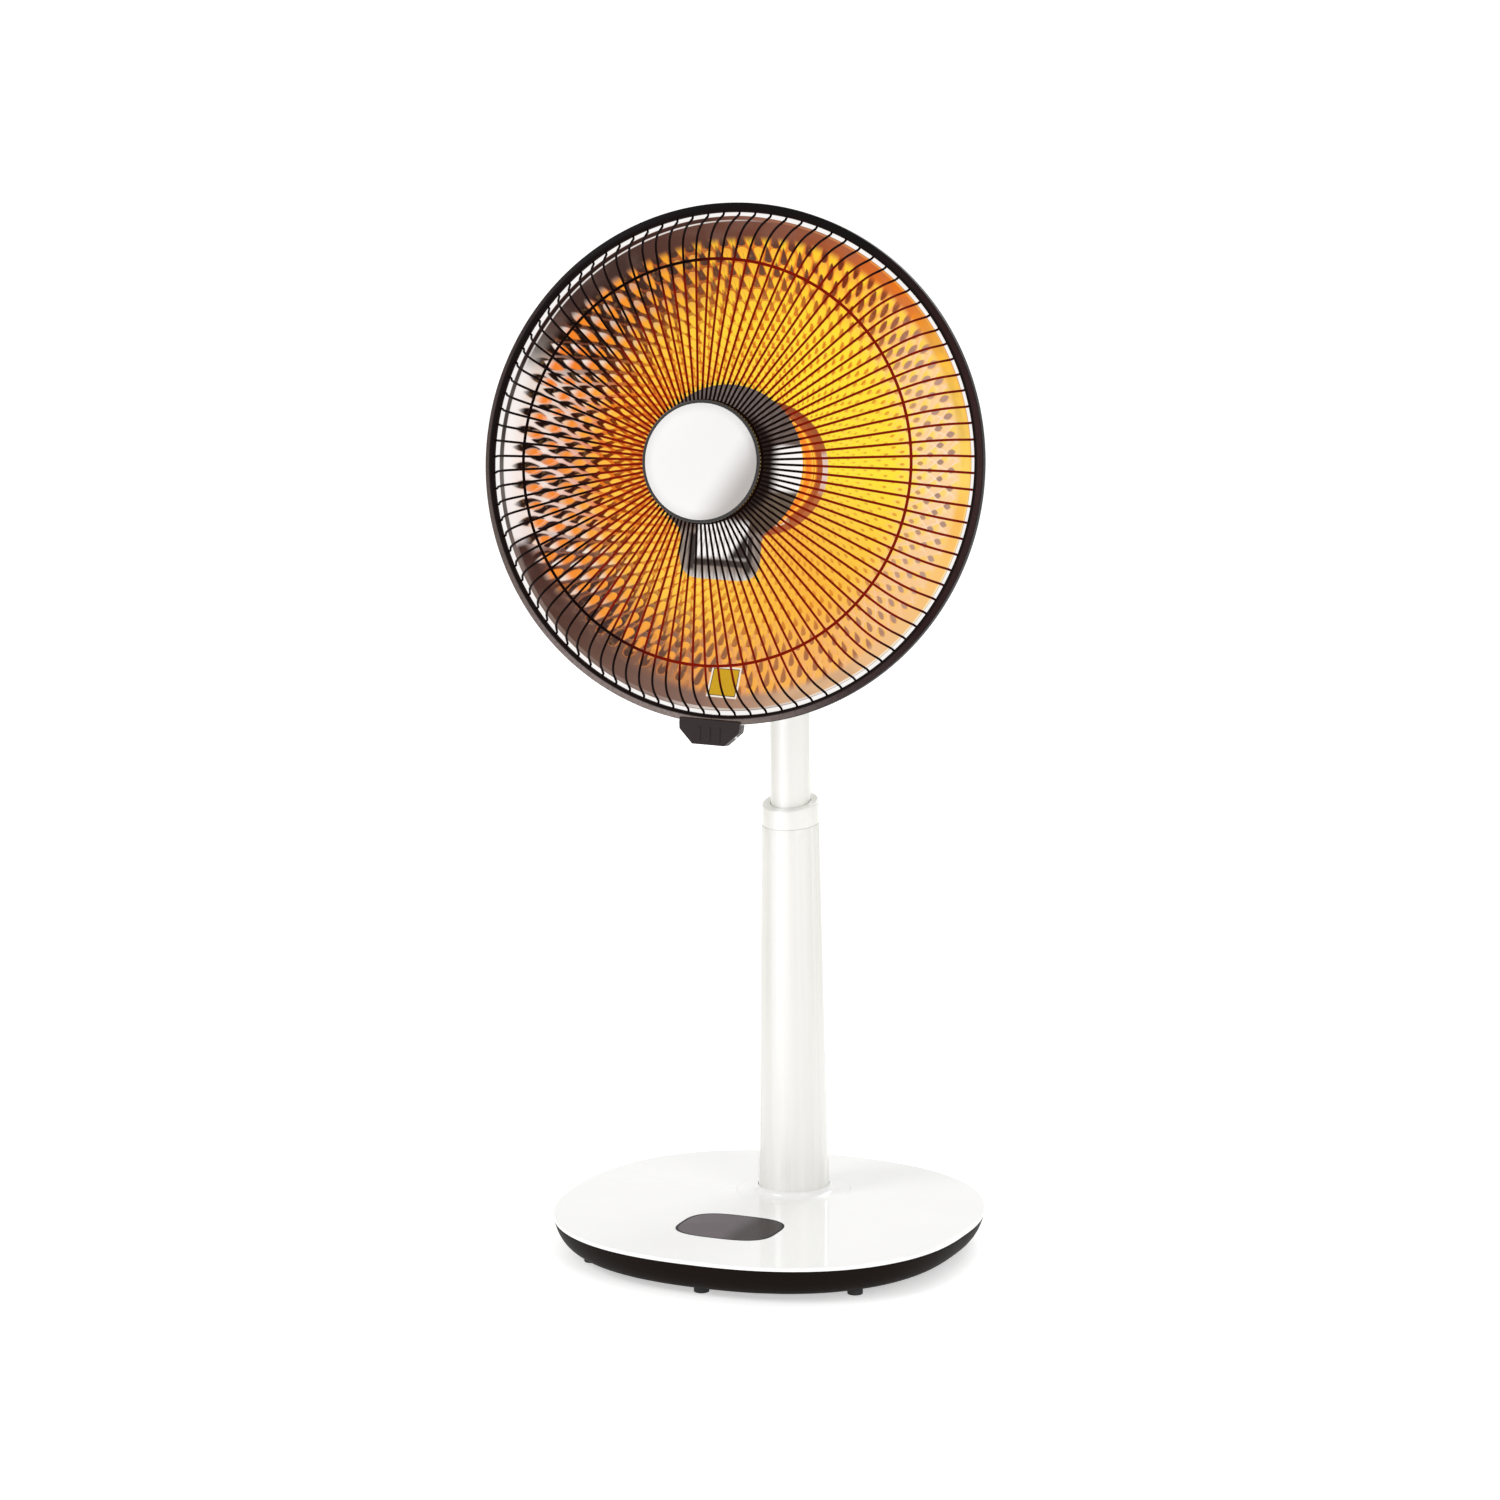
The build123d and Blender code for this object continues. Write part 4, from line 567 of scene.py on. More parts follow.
def softened(node, name, material, width, angle=35, segments=2):
    """Copy of a CAD node with its loose triangles merged and its edges rounded."""
    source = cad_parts[node]
    mesh = bpy.data.meshes.new(name)
    work = bmesh.new()
    work.from_mesh(source.data)
    bmesh.ops.remove_doubles(work, verts=work.verts, dist=WELD * 10)
    bmesh.ops.dissolve_limit(work, angle_limit=FLAT_WITHIN, verts=work.verts, edges=work.edges)
    work.to_mesh(mesh)
    work.free()
    target = set_finish(linked(name, mesh), material)
    bevel = target.modifiers.new("round", "BEVEL")
    bevel.width = width * MM
    bevel.segments = segments
    bevel.limit_method = "ANGLE"
    bevel.angle_limit = math.radians(angle)
    apply_modifiers(target)
    sharp_edges(target, SOFTENED_CREASE)
    for polygon in target.data.polygons:
        polygon.use_smooth = len(polygon.vertices) < FLAT_FROM
    return target


def dress(material, *nodes):
    """Gives CAD nodes that stay a finish."""
    for node in nodes:
        set_finish(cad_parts[node], material)


def joined(name, parts):
    """One mesh from several objects that share a body."""
    work = bmesh.new()
    materials = []
    for part in parts:
        start = len(work.faces)
        work.from_mesh(part.data)
        work.faces.ensure_lookup_table()
        for face in work.faces[start:]:
            wanted = part.data.materials[face.material_index]
            if wanted not in materials:
                materials.append(wanted)
            face.material_index = materials.index(wanted)
    mesh = bpy.data.meshes.new(name)
    work.to_mesh(mesh)
    work.free()
    target = linked(name, mesh)
    for material in materials:
        mesh.materials.append(material)
    for part in parts:
        bpy.data.objects.remove(part)
    return target


def sweep(path, radius, sides):
    """Round rod along a path in the XZ plane; returns its points and faces in millimetres."""
    points = []
    for index, place in enumerate(path):
        before = Vector(path[max(index - 1, 0)])
        after = Vector(path[min(index + 1, len(path) - 1)])
        heading = (after - before).normalized()
        across = Vector((-heading.y, heading.x))
        for step in range(sides):
            around = TURN * step / sides
            out = radius * math.cos(around)
            points.append((place[0] + across.x * out, radius * math.sin(around),
                           place[1] + across.y * out))
    faces = skin(len(path), sides)
    faces.append(tuple(range(sides)))
    faces.append(tuple(reversed(range((len(path) - 1) * sides, len(path) * sides))))
    return points, faces


def bent(corners, radii, steps=6):
    """Open path whose inner corners are rounded."""
    path = [corners[0]]
    for index in range(1, len(corners) - 1):
        corner = Vector(corners[index])
        before = Vector(corners[index - 1])
        after = Vector(corners[index + 1])
        reach = min(radii[index - 1], (before - corner).length * MOST_BENT,
                    (after - corner).length * MOST_BENT)
        path += eased(before, corner, after, reach, steps)
    path.append(corners[-1])
    return path


def generated(name, material, inputs, rule, mesh=None):
    """Object on the head whose mesh comes from a Geometry Nodes rule with named inputs."""
    target = linked(name, mesh or bpy.data.meshes.new(name))
    tree = bpy.data.node_groups.new(name + "_rule", "GeometryNodeTree")
    tree.interface.new_socket("Geometry", in_out="INPUT", socket_type="NodeSocketGeometry")
    tree.interface.new_socket("Geometry", in_out="OUTPUT", socket_type="NodeSocketGeometry")
    sockets = {}
    for key, value in inputs.items():
        kind = "NodeSocketInt" if isinstance(value, int) else "NodeSocketFloat"
        sockets[key] = tree.interface.new_socket(key, in_out="INPUT", socket_type=kind)
    entry = tree.nodes.new("NodeGroupInput")
    leave = tree.nodes.new("NodeGroupOutput")
    nodes = Nodes(tree)
    fields = {key: Value(nodes, entry.outputs[key]) for key in inputs}
    shape = rule(nodes, Value(nodes, entry.outputs["Geometry"]), fields)
    real = nodes.add("GeometryNodeRealizeInstances", None, {"Geometry": shape})
    dressed = nodes.add("GeometryNodeSetMaterial", None, {"Geometry": real, "Material": material})
    tree.links.new(dressed.socket, leave.inputs[0])
    modifier = target.modifiers.new("rule", "NODES")
    modifier.node_group = tree
    for key, value in inputs.items():
        modifier[sockets[key].identifier] = value
    apply_modifiers(target)
    target.data.transform(HEAD)
    target.data.update()
    if not len(target.data.polygons):
        raise RuntimeError(name + " came out empty")
    for polygon in target.data.polygons:
        polygon.use_smooth = True
    return target


def keyhole(inset, count=120):
    """Outline of the shield: a disc with a rounded tab below, moved inwards, in millimetres."""
    radius, half, foot = (size - inset for size in KEYHOLE)
    corner = max(KEYHOLE_CORNER - inset * KEYHOLE_TIGHTER, KEYHOLE_LEAST)
    points = []
    for step in range(count):
        around = TURN * step / count
        ray = Vector((math.cos(around), math.sin(around)))
        reach = radius
        if ray.y < 0:
            tab = min(half / max(abs(ray.x), 1e-6), foot / max(-ray.y, 1e-6))
            spot = ray * tab
            hub = Vector((math.copysign(half - corner, ray.x), corner - foot))
            if abs(spot.x) > half - corner and spot.y < corner - foot:
                past = ray.dot(hub) ** 2 - hub.length_squared + corner ** 2
                tab = ray.dot(hub) + math.sqrt(max(past, 0))
            if tab >= radius - KEYHOLE_SOFT:
                step_in = max(KEYHOLE_SOFT - abs(tab - radius), 0) / KEYHOLE_SOFT
                reach = max(tab, radius) + step_in ** 2 * KEYHOLE_SOFT / 4
        points.append((reach * ray.x, reach * ray.y))
    return evened(points, count)


# Tables by angle, in degrees from the head's right towards its top. Most hold colours of painted
# light: reflections of the glowing lamp and the room, highlights and shade.
# Painted reflection on the facets: ground, lit tips, lit and unlit leaves, outer then inner rows
GROUND_OUTER = (
    (0, 0.98, 0.66, 0.35), (30, 0.99, 0.64, 0.3), (52, 0.96, 0.46, 0.07), (72, 0.9, 0.34, 0.04),
    (90, 0.66, 0.2, 0.03), (108, 0.36, 0.1, 0.025), (128, 0.12, 0.045, 0.022),
    (152, 0.1, 0.045, 0.03), (160, 0.8, 0.68, 0.6), (180, 0.94, 0.82, 0.77),
    (201, 0.86, 0.73, 0.66), (207, 0.12, 0.055, 0.045), (235, 0.15, 0.075, 0.055),
    (252, 0.28, 0.13, 0.08), (268, 0.7, 0.3, 0.12), (285, 0.9, 0.41, 0.12), (310, 0.93, 0.48, 0.17),
    (335, 0.95, 0.6, 0.31), (360, 0.98, 0.66, 0.35))
TIP_OUTER = (
    (0, 1, 0.76, 0.44), (35, 1, 0.7, 0.27), (60, 0.98, 0.5, 0.05), (90, 0.98, 0.5, 0.04),
    (118, 0.72, 0.26, 0.07), (138, 0.62, 0.48, 0.4), (152, 0.9, 0.8, 0.74), (172, 0.88, 0.55, 0.36),
    (184, 0.72, 0.22, 0.07), (200, 0.9, 0.58, 0.38), (210, 0.94, 0.88, 0.83), (222, 0.8, 0.62, 0.5),
    (232, 0.82, 0.33, 0.1), (262, 0.84, 0.36, 0.11), (300, 0.93, 0.46, 0.13), (360, 1, 0.76, 0.44))
LIGHT_OUTER = (
    (0, 1, 0.69, 0.18), (35, 1, 0.65, 0.09), (60, 1, 0.63, 0.03), (90, 1, 0.6, 0.04),
    (120, 0.95, 0.36, 0.03), (150, 0.9, 0.22, 0.02), (180, 0.92, 0.24, 0.03),
    (210, 0.9, 0.26, 0.03), (240, 0.93, 0.35, 0.05), (280, 0.93, 0.42, 0.07),
    (330, 0.96, 0.57, 0.16), (360, 1, 0.69, 0.18))
DARK_OUTER = (
    (0, 0.4, 0.24, 0.18), (30, 0.52, 0.31, 0.23), (48, 0.3, 0.08, 0.03), (62, 0.2, 0.03, 0.008),
    (90, 0.115, 0.055, 0.036), (120, 0.065, 0.028, 0.02), (145, 0.016, 0.006, 0.004),
    (180, 0.01, 0.003, 0.002), (205, 0.03, 0.01, 0.008), (235, 0.07, 0.036, 0.03),
    (262, 0.2, 0.09, 0.055), (282, 0.42, 0.16, 0.06), (305, 0.4, 0.15, 0.07),
    (330, 0.52, 0.33, 0.25), (360, 0.4, 0.24, 0.18))
GROUND_INNER = (
    (0, 1, 0.74, 0.04), (30, 1, 0.66, 0.05), (60, 1, 0.68, 0.03), (90, 1, 0.62, 0.04),
    (120, 0.97, 0.46, 0.04), (150, 0.8, 0.2, 0.015), (180, 0.7, 0.15, 0.012),
    (210, 0.84, 0.24, 0.02), (240, 0.95, 0.44, 0.05), (270, 0.96, 0.5, 0.06),
    (300, 0.93, 0.4, 0.04), (330, 0.97, 0.56, 0.05), (360, 1, 0.74, 0.04))
LIGHT_INNER = (
    (0, 1, 0.78, 0.05), (60, 1, 0.76, 0.04), (110, 1, 0.66, 0.05), (150, 1, 0.54, 0.05),
    (180, 1, 0.54, 0.06), (210, 1, 0.58, 0.07), (250, 0.99, 0.6, 0.07), (300, 0.96, 0.46, 0.05),
    (330, 0.98, 0.6, 0.06), (360, 1, 0.78, 0.05))
DARK_INNER = (
    (0, 0.88, 0.4, 0.03), (45, 0.82, 0.3, 0.02), (75, 0.78, 0.24, 0.02), (105, 0.62, 0.14, 0.012),
    (130, 0.3, 0.045, 0.006), (150, 0.14, 0.018, 0.004), (180, 0.1, 0.012, 0.003),
    (212, 0.18, 0.028, 0.005), (240, 0.52, 0.14, 0.02), (275, 0.72, 0.25, 0.03),
    (310, 0.78, 0.28, 0.03), (360, 0.88, 0.4, 0.03))
# Painted reflection on the plain band outside the facets
BAND = (
    (0, 1, 0.68, 0.14), (28, 1, 0.55, 0.06), (44, 0.88, 0.21, 0.01), (58, 0.68, 0.14, 0.02),
    (72, 0.35, 0.09, 0.035), (88, 0.18, 0.06, 0.038), (104, 0.12, 0.048, 0.034),
    (122, 0.066, 0.034, 0.028), (148, 0.055, 0.03, 0.026), (155, 0.22, 0.19, 0.175),
    (161, 0.9, 0.84, 0.81), (182, 0.96, 0.9, 0.88), (202, 0.9, 0.81, 0.78),
    (203.5, 0.06, 0.025, 0.02), (226, 0.1, 0.048, 0.036), (246, 0.17, 0.092, 0.07),
    (264, 0.24, 0.135, 0.105), (278, 0.46, 0.27, 0.18), (292, 0.76, 0.47, 0.27),
    (315, 0.87, 0.52, 0.25), (340, 0.98, 0.57, 0.17), (352, 0.95, 0.5, 0.1), (360, 1, 0.68, 0.14))
# Painted reflection and shade on the bead of the flange
BEAD = (
    (0, 1, 0.62, 0.14), (55, 0.86, 0.3, 0.05), (72, 0.5, 0.2, 0.09), (88, 0.3, 0.12, 0.08),
    (100, 0.07, 0.03, 0.024), (130, 0.028, 0.013, 0.011), (156, 0.02, 0.01, 0.01),
    (166, 0.085, 0.072, 0.066), (176, 0.05, 0.042, 0.038), (186, 0.17, 0.15, 0.14),
    (196, 0.1, 0.086, 0.08), (206, 0.21, 0.155, 0.135), (240, 0.22, 0.15, 0.125),
    (256, 0.3, 0.21, 0.18), (266, 0.66, 0.58, 0.53), (280, 0.55, 0.47, 0.41),
    (300, 0.88, 0.8, 0.72), (330, 0.95, 0.8, 0.52), (350, 1, 0.66, 0.24), (360, 1, 0.62, 0.14))
# Painted reflection on the hub plate
HUB = (
    (0, 0.8, 0.62, 0.55), (14, 0.74, 0.52, 0.44), (20, 0.4, 0.11, 0.035), (60, 0.3, 0.07, 0.025),
    (200, 0.25, 0.05, 0.03), (300, 0.44, 0.12, 0.04), (338, 0.52, 0.16, 0.05),
    (347, 0.74, 0.5, 0.42), (360, 0.8, 0.62, 0.55))
# Painted sheen on the hoop's front lip
HOOP = (
    (0, 0.04, 0.018, 0.018), (40, 0.022, 0.008, 0.008), (62, 0.004, 0.003, 0.003),
    (100, 0.004, 0.003, 0.003), (130, 0.013, 0.011, 0.012), (155, 0.045, 0.032, 0.03),
    (180, 0.085, 0.062, 0.056), (205, 0.13, 0.1, 0.09), (232, 0.21, 0.165, 0.155),
    (262, 0.25, 0.2, 0.185), (285, 0.15, 0.12, 0.11), (302, 0.05, 0.033, 0.032),
    (325, 0.022, 0.009, 0.009), (360, 0.04, 0.018, 0.018))
# Painted reflection in the shield, by angle
SHIELD = (
    (0, 0.2, 0.15, 0.13), (25, 0.16, 0.115, 0.1), (50, 0.15, 0.115, 0.105), (90, 0.16, 0.13, 0.12),
    (140, 0.13, 0.1, 0.09), (200, 0.12, 0.09, 0.08), (300, 0.1, 0.065, 0.045),
    (330, 0.16, 0.115, 0.08), (345, 0.1, 0.075, 0.06), (360, 0.2, 0.15, 0.13))
# Painted shade and light on the column round its own axis, from the right towards the rear
POLE = (
    (0, 0.68, 0.68, 0.63), (90, 0.7, 0.7, 0.66), (205, 0.68, 0.67, 0.63), (240, 0.66, 0.65, 0.6),
    (254, 0.76, 0.75, 0.72), (269, 0.92, 0.92, 0.91), (280, 0.86, 0.85, 0.82),
    (292, 0.76, 0.75, 0.72), (310, 0.78, 0.77, 0.74), (328, 0.79, 0.78, 0.74),
    (345, 0.74, 0.73, 0.69), (360, 0.68, 0.68, 0.63))
# Colour of the painted highlight lines between facets, how much they show
EDGES = (
    (0, 1, 0.84, 0.74, 0.7), (35, 0.97, 0.76, 0.6, 0.5), (55, 0.95, 0.5, 0.15, 0.1),
    (120, 0.3, 0.12, 0.07, 0), (155, 0.95, 0.86, 0.82, 0), (165, 0.95, 0.86, 0.82, 0.35),
    (200, 0.95, 0.84, 0.79, 0.3), (212, 0.62, 0.34, 0.26, 0.1), (262, 0.72, 0.42, 0.28, 0.1),
    (300, 0.97, 0.68, 0.44, 0.3), (360, 1, 0.84, 0.74, 0.7))
# Colour of the painted glow blurred round an unlit facet, how much it shows
HALO = (
    (0, 1, 0.52, 0.1, 0.15), (40, 0.95, 0.34, 0.03, 0.6), (90, 0.86, 0.17, 0.01, 0.85),
    (118, 0.62, 0.09, 0.008, 0.5), (140, 0.5, 0.07, 0.006, 0.2), (180, 0.7, 0.12, 0.01, 0.15),
    (205, 0.6, 0.1, 0.01, 0.2), (235, 0.8, 0.22, 0.02, 0.45), (285, 0.9, 0.28, 0.03, 0.7),
    (320, 0.97, 0.42, 0.08, 0.35), (360, 1, 0.52, 0.1, 0.15))
# Painted leaf: its shift across and along, each halved and plus a half, half its width, its reach
LIT_OUTER = (
    (0, 0.6, 0.5, 0.45, 0.5), (60, 0.5, 0.6, 0.5, 0.7), (80, 0.5, 0.62, 0.44, 0.6),
    (92, 0.47, 0.62, 0.42, 0.58), (112, 0.47, 0.66, 0.42, 0.55), (130, 0.47, 0.66, 0.48, 0.6),
    (146, 0.45, 0.66, 0.46, 0.7), (164, 0.48, 0.8, 0.46, 0.56), (185, 0.52, 0.8, 0.46, 0.54),
    (203, 0.54, 0.74, 0.48, 0.6), (212, 0.54, 0.56, 0.46, 0.8), (226, 0.54, 0.62, 0.42, 0.6),
    (258, 0.5, 0.64, 0.46, 0.6), (276, 0.5, 0.62, 0.7, 0.8), (300, 0.5, 0.62, 0.7, 0.8),
    (330, 0.6, 0.5, 0.5, 0.55), (360, 0.6, 0.5, 0.45, 0.5))
UNLIT_OUTER = (
    (0, 0.5, 0.8, 0.34, 0.34), (30, 0.45, 0.66, 0.36, 0.5), (50, 0.28, 0.5, 0.34, 0.66),
    (64, 0.25, 0.5, 0.34, 0.66), (71, 0.25, 0.52, 0.32, 0.6), (72, 0.75, 0.52, 0.32, 0.6),
    (90, 0.72, 0.53, 0.32, 0.55), (108, 0.7, 0.5, 0.4, 0.6), (125, 0.68, 0.48, 0.66, 0.68),
    (148, 0.6, 0.46, 0.7, 0.74), (165, 0.42, 0.6, 0.5, 0.78), (182, 0.4, 0.6, 0.48, 0.8),
    (203, 0.44, 0.56, 0.54, 0.76), (212, 0.5, 0.6, 0.62, 0.6), (236, 0.36, 0.42, 0.5, 0.66),
    (262, 0.62, 0.42, 0.34, 0.64), (282, 0.65, 0.45, 0.26, 0.62), (302, 0.62, 0.55, 0.25, 0.52),
    (330, 0.5, 0.75, 0.32, 0.38), (360, 0.5, 0.8, 0.34, 0.34))
LIT_INNER = (
    (0, 0.5, 0.5, 0.8, 0.8), (100, 0.48, 0.64, 0.62, 0.62), (150, 0.46, 0.72, 0.56, 0.58),
    (180, 0.5, 0.72, 0.54, 0.56), (210, 0.52, 0.72, 0.56, 0.58), (250, 0.5, 0.64, 0.62, 0.62),
    (285, 0.5, 0.6, 0.8, 0.8), (360, 0.5, 0.5, 0.8, 0.8))
UNLIT_INNER = (
    (0, 0.5, 0.8, 0.2, 0.32), (50, 0.28, 0.5, 0.26, 0.42), (71, 0.25, 0.5, 0.26, 0.42),
    (72, 0.75, 0.5, 0.26, 0.42), (120, 0.68, 0.47, 0.42, 0.5), (150, 0.58, 0.42, 0.6, 0.56),
    (180, 0.44, 0.42, 0.62, 0.56), (210, 0.48, 0.4, 0.56, 0.54), (240, 0.5, 0.36, 0.4, 0.48),
    (300, 0.62, 0.5, 0.28, 0.44), (330, 0.5, 0.75, 0.24, 0.36), (360, 0.5, 0.8, 0.2, 0.32))
# Taper of the unlit and of the lit leaf, each halved and plus a half, painted bright line by the
# bead, bluntness of the leaves
SHAPES = (
    (0, 0.5, 0.5, 0, 0), (60, 0.5, 0.5, 0, 0.3), (84, 0.95, 0.08, 0, 1), (92, 0.95, 0.08, 0.45, 1),
    (104, 0.9, 0.15, 0.95, 0.9), (135, 0.5, 0.4, 0.9, 0.2), (150, 0.5, 0.5, 0.9, 0),
    (160, 0.5, 0.5, 0.25, 0), (198, 0.5, 0.5, 0.2, 0), (215, 0.5, 0.7, 0, 0.3),
    (236, 0.5, 0.9, 0, 0.8), (262, 0.3, 0.7, 0, 0.8), (282, 0.08, 0.6, 0, 0.8),
    (300, 0.15, 0.5, 0, 0.6), (330, 0.5, 0.5, 0, 0), (360, 0.5, 0.5, 0, 0))
# A quarter of the first row that shows, shift of the plain band's edge in rows plus a half
STARTS = (
    (0, 0, 0.5), (70, 0, 0.5), (84, 0, 0.75), (96, 0, 0.85), (122, 0.05, 0.8), (140, 0, 0.5),
    (158, 0, 0.12), (200, 0, 0.12), (210, 0, 0.5), (222, 0.22, 0.6), (250, 0.22, 0.6),
    (266, 0.1, 0.5), (282, 0, 0.5), (360, 0, 0.5))
# Share of the hoop's radius inside which a painted glow, the lamp's light from behind, reddens the
# wires
WIRE_GLOW_REACH = (
    (0, 0.97), (45, 0.93), (75, 0.82), (95, 0.76), (120, 0.62), (150, 0.47), (180, 0.42),
    (210, 0.5), (235, 0.7), (262, 0.8), (300, 0.88), (330, 0.94), (360, 0.97))

# Radii on the dish in millimetres: bead, painted glint beside it, rim of the flange, hub plate
BEAD_RADIUS = 187.6
GLINT_RADII = (186.6, 187.5)
RIM_RADIUS = 189.4
RIM_LEFT_SHIFT = 0.8
HUB_RADIUS = 53.1
# Painted reflection of the lamp on the hub plate: each disc's radius and colour, then its bright
# line
LAMP_IMAGE = ((47.7, (0.42, 0.10, 0.03)), (43.3, (0.80, 0.22, 0.02)))
LAMP_LINE_RADII = (41.0, 42.2)
LAMP_LINE_COLOUR = (1.0, 0.58, 0.06)
# Spans of a turn round the head where the painted reflection and sheen differ from the rest
LEFT_SPAN = (0.43, 0.575)
LEFT_HALF = (0.29, 0.70)
WHITE_BAND = (0.443, 0.56)
WARM_BAND = (0.85, 1.1)
RIM_LEFT = (0.24, 0.745)
HOOP_LEFT = (0.36, 0.54)
HOOP_LIP = 195.4
# Rows of facets over which the inner painted tones take over, and the painted highlight lines
# between facets fade
DEPTH_ROWS = (1.5, 6.5)
CORE_ROWS = (4.5, 10.0)
GROUND_ROWS = (2.6, 7.6)
EDGE_ROWS = (2.0, 5.0)
# Where the painted glow fades on the wires, and where the shield's painted shade hides it, in
# millimetres: the shade's shift, the edge of its disc, the sides, the foot and top of its tab
GLOW_FADE = (9.0, -9.0)
SHADE_ASIDE = 15.5
SHADE_DISC = (60.0, 64.0)
SHADE_SIDE = (33.5, 31.0)
SHADE_FOOT = (-89.0, -86.0)
SHADE_TOP = (0.0, -1.0)
# Painted reflection in the shield, in millimetres: dark middle, bright patch, and the upper end
# of the tab with its foot, its dark frame and the bright field in it
MIDDLE_FADE = (45.0, 36.0)
PATCH_UP = (-18.0, 17.0, 2.0)
PATCH_RIGHT = (33.0, 43.0)
TAB_START = (-48.0, -54.0)
TAB_FOOT = (-90.0, -79.0)
FRAME_SIDE = (20.5, 25.5, 1.2)
FRAME_FOOT = (-78.4, -73.2, 1.2)
FRAME_CORNER = (25.5, 23.5)
FRAME_TOP = (-52.0, -56.0)
FRAME_END = (-84.0, -80.0)
FIELD_SIDE = (21.5, 19.0)
FIELD_FOOT = (-74.0, -70.0)
FIELD_TOP = (-40.0, -47.0)
# Painted dark slanting half of that field: its edge at the field's foot, its slope and its softness
SLANT_EDGE = 4.0
SLANT_FOOT = 70.0
SLANT_SLOPE = 0.7
SLANT_FADE = (-1.5, 5.0)
# Painted reflection of the guard wires in the shield: its phase and its fade
WIRE_REFLECTION_PHASE = 0.2
WIRE_REFLECTION_FADE = (0.26, 0.06)
# Radius from which painted shade darkens the badge's rim
BADGE_SHADE = 36.0
LAMP_FRONT = (-69.0, -67.1)
# Heights over which the painted light at the column's foot fades
COLUMN_FOOT = (60.0, 260.0)
WINDOW_CENTRE = (-6.5, -66.5)
WINDOW_HALF = (42.3, 32.6)
WINDOW_ROUNDNESS = 3.14
WINDOW_EDGE = (0.82, 0.88)
# Span across the window over which painted shade darkens its right side
WINDOW_SHADE = (-8.0, 12.0)
# Distance from the plate's middle, as a share of its size, of its outline and its border
PLATE_LINE = (0.415, 0.425)
PLATE_BORDER = (0.44, 0.45)


def by_angle(nodes, turn, stops):
    """Colour and share by angle. A stop is degrees, up to three numbers and at times a share."""
    elements = []
    for place, *numbers in stops:
        colour = (*numbers, 0, 0)[:3]
        elements.append((place / 360, (*colour, numbers[3] if len(numbers) > 3 else 1)))
    ramp = nodes.add("ShaderNodeValToRGB", {"stops": elements}, {0: turn})
    return ramp, Value(nodes, ramp.socket.node.outputs[1])


def numbers_by_angle(nodes, turn, stops):
    """The four numbers of an angle table."""
    colour, share = by_angle(nodes, turn, stops)
    return [*nodes.split(colour), share]


class HeadPlace:
    """Right and up on the head in millimetres, distance from its axis and angle round it."""

    def __init__(self, nodes):
        self.right, self.up = nodes.along(RING_CENTRE, HEAD_RIGHT, HEAD_TOP)
        self.far = (self.right * self.right + self.up * self.up).maths("SQRT")
        self.angle = self.up.maths("ARCTAN2", self.right)
        self.turn = (self.angle / TURN).maths("FRACT")


def facet_place(column, level):
    """Place in a facet along its two diagonals, from -0.5 to 0.5."""
    half = level * 0.5
    return (column + half).maths("FRACT") - 0.5, (column - half).maths("FRACT") - 0.5


def leaf_mask(column, level, start, numbers, taper, blunt, edge):
    """Leaf-shaped spot in each facet from a row inwards, its blur and the place along it."""
    across, along, half, reach = numbers
    along = along * 2 - 1
    first, second = facet_place(column - (across * 2 - 1), level - along)
    wide = (first + second).maths("ABSOLUTE")
    place = (first - second) / reach
    square = place * place
    flat = square * square * square * square
    body = half * (1 - square + blunt * (square - flat)) * (1 + taper * place).maths("MAXIMUM", 0)
    shown = (level - along - first + second - start).smooth(-0.3, 0.3)
    over = body - wide
    return over.smooth(-edge, edge) * shown, over.smooth(-0.42, 0.04) * shown, place


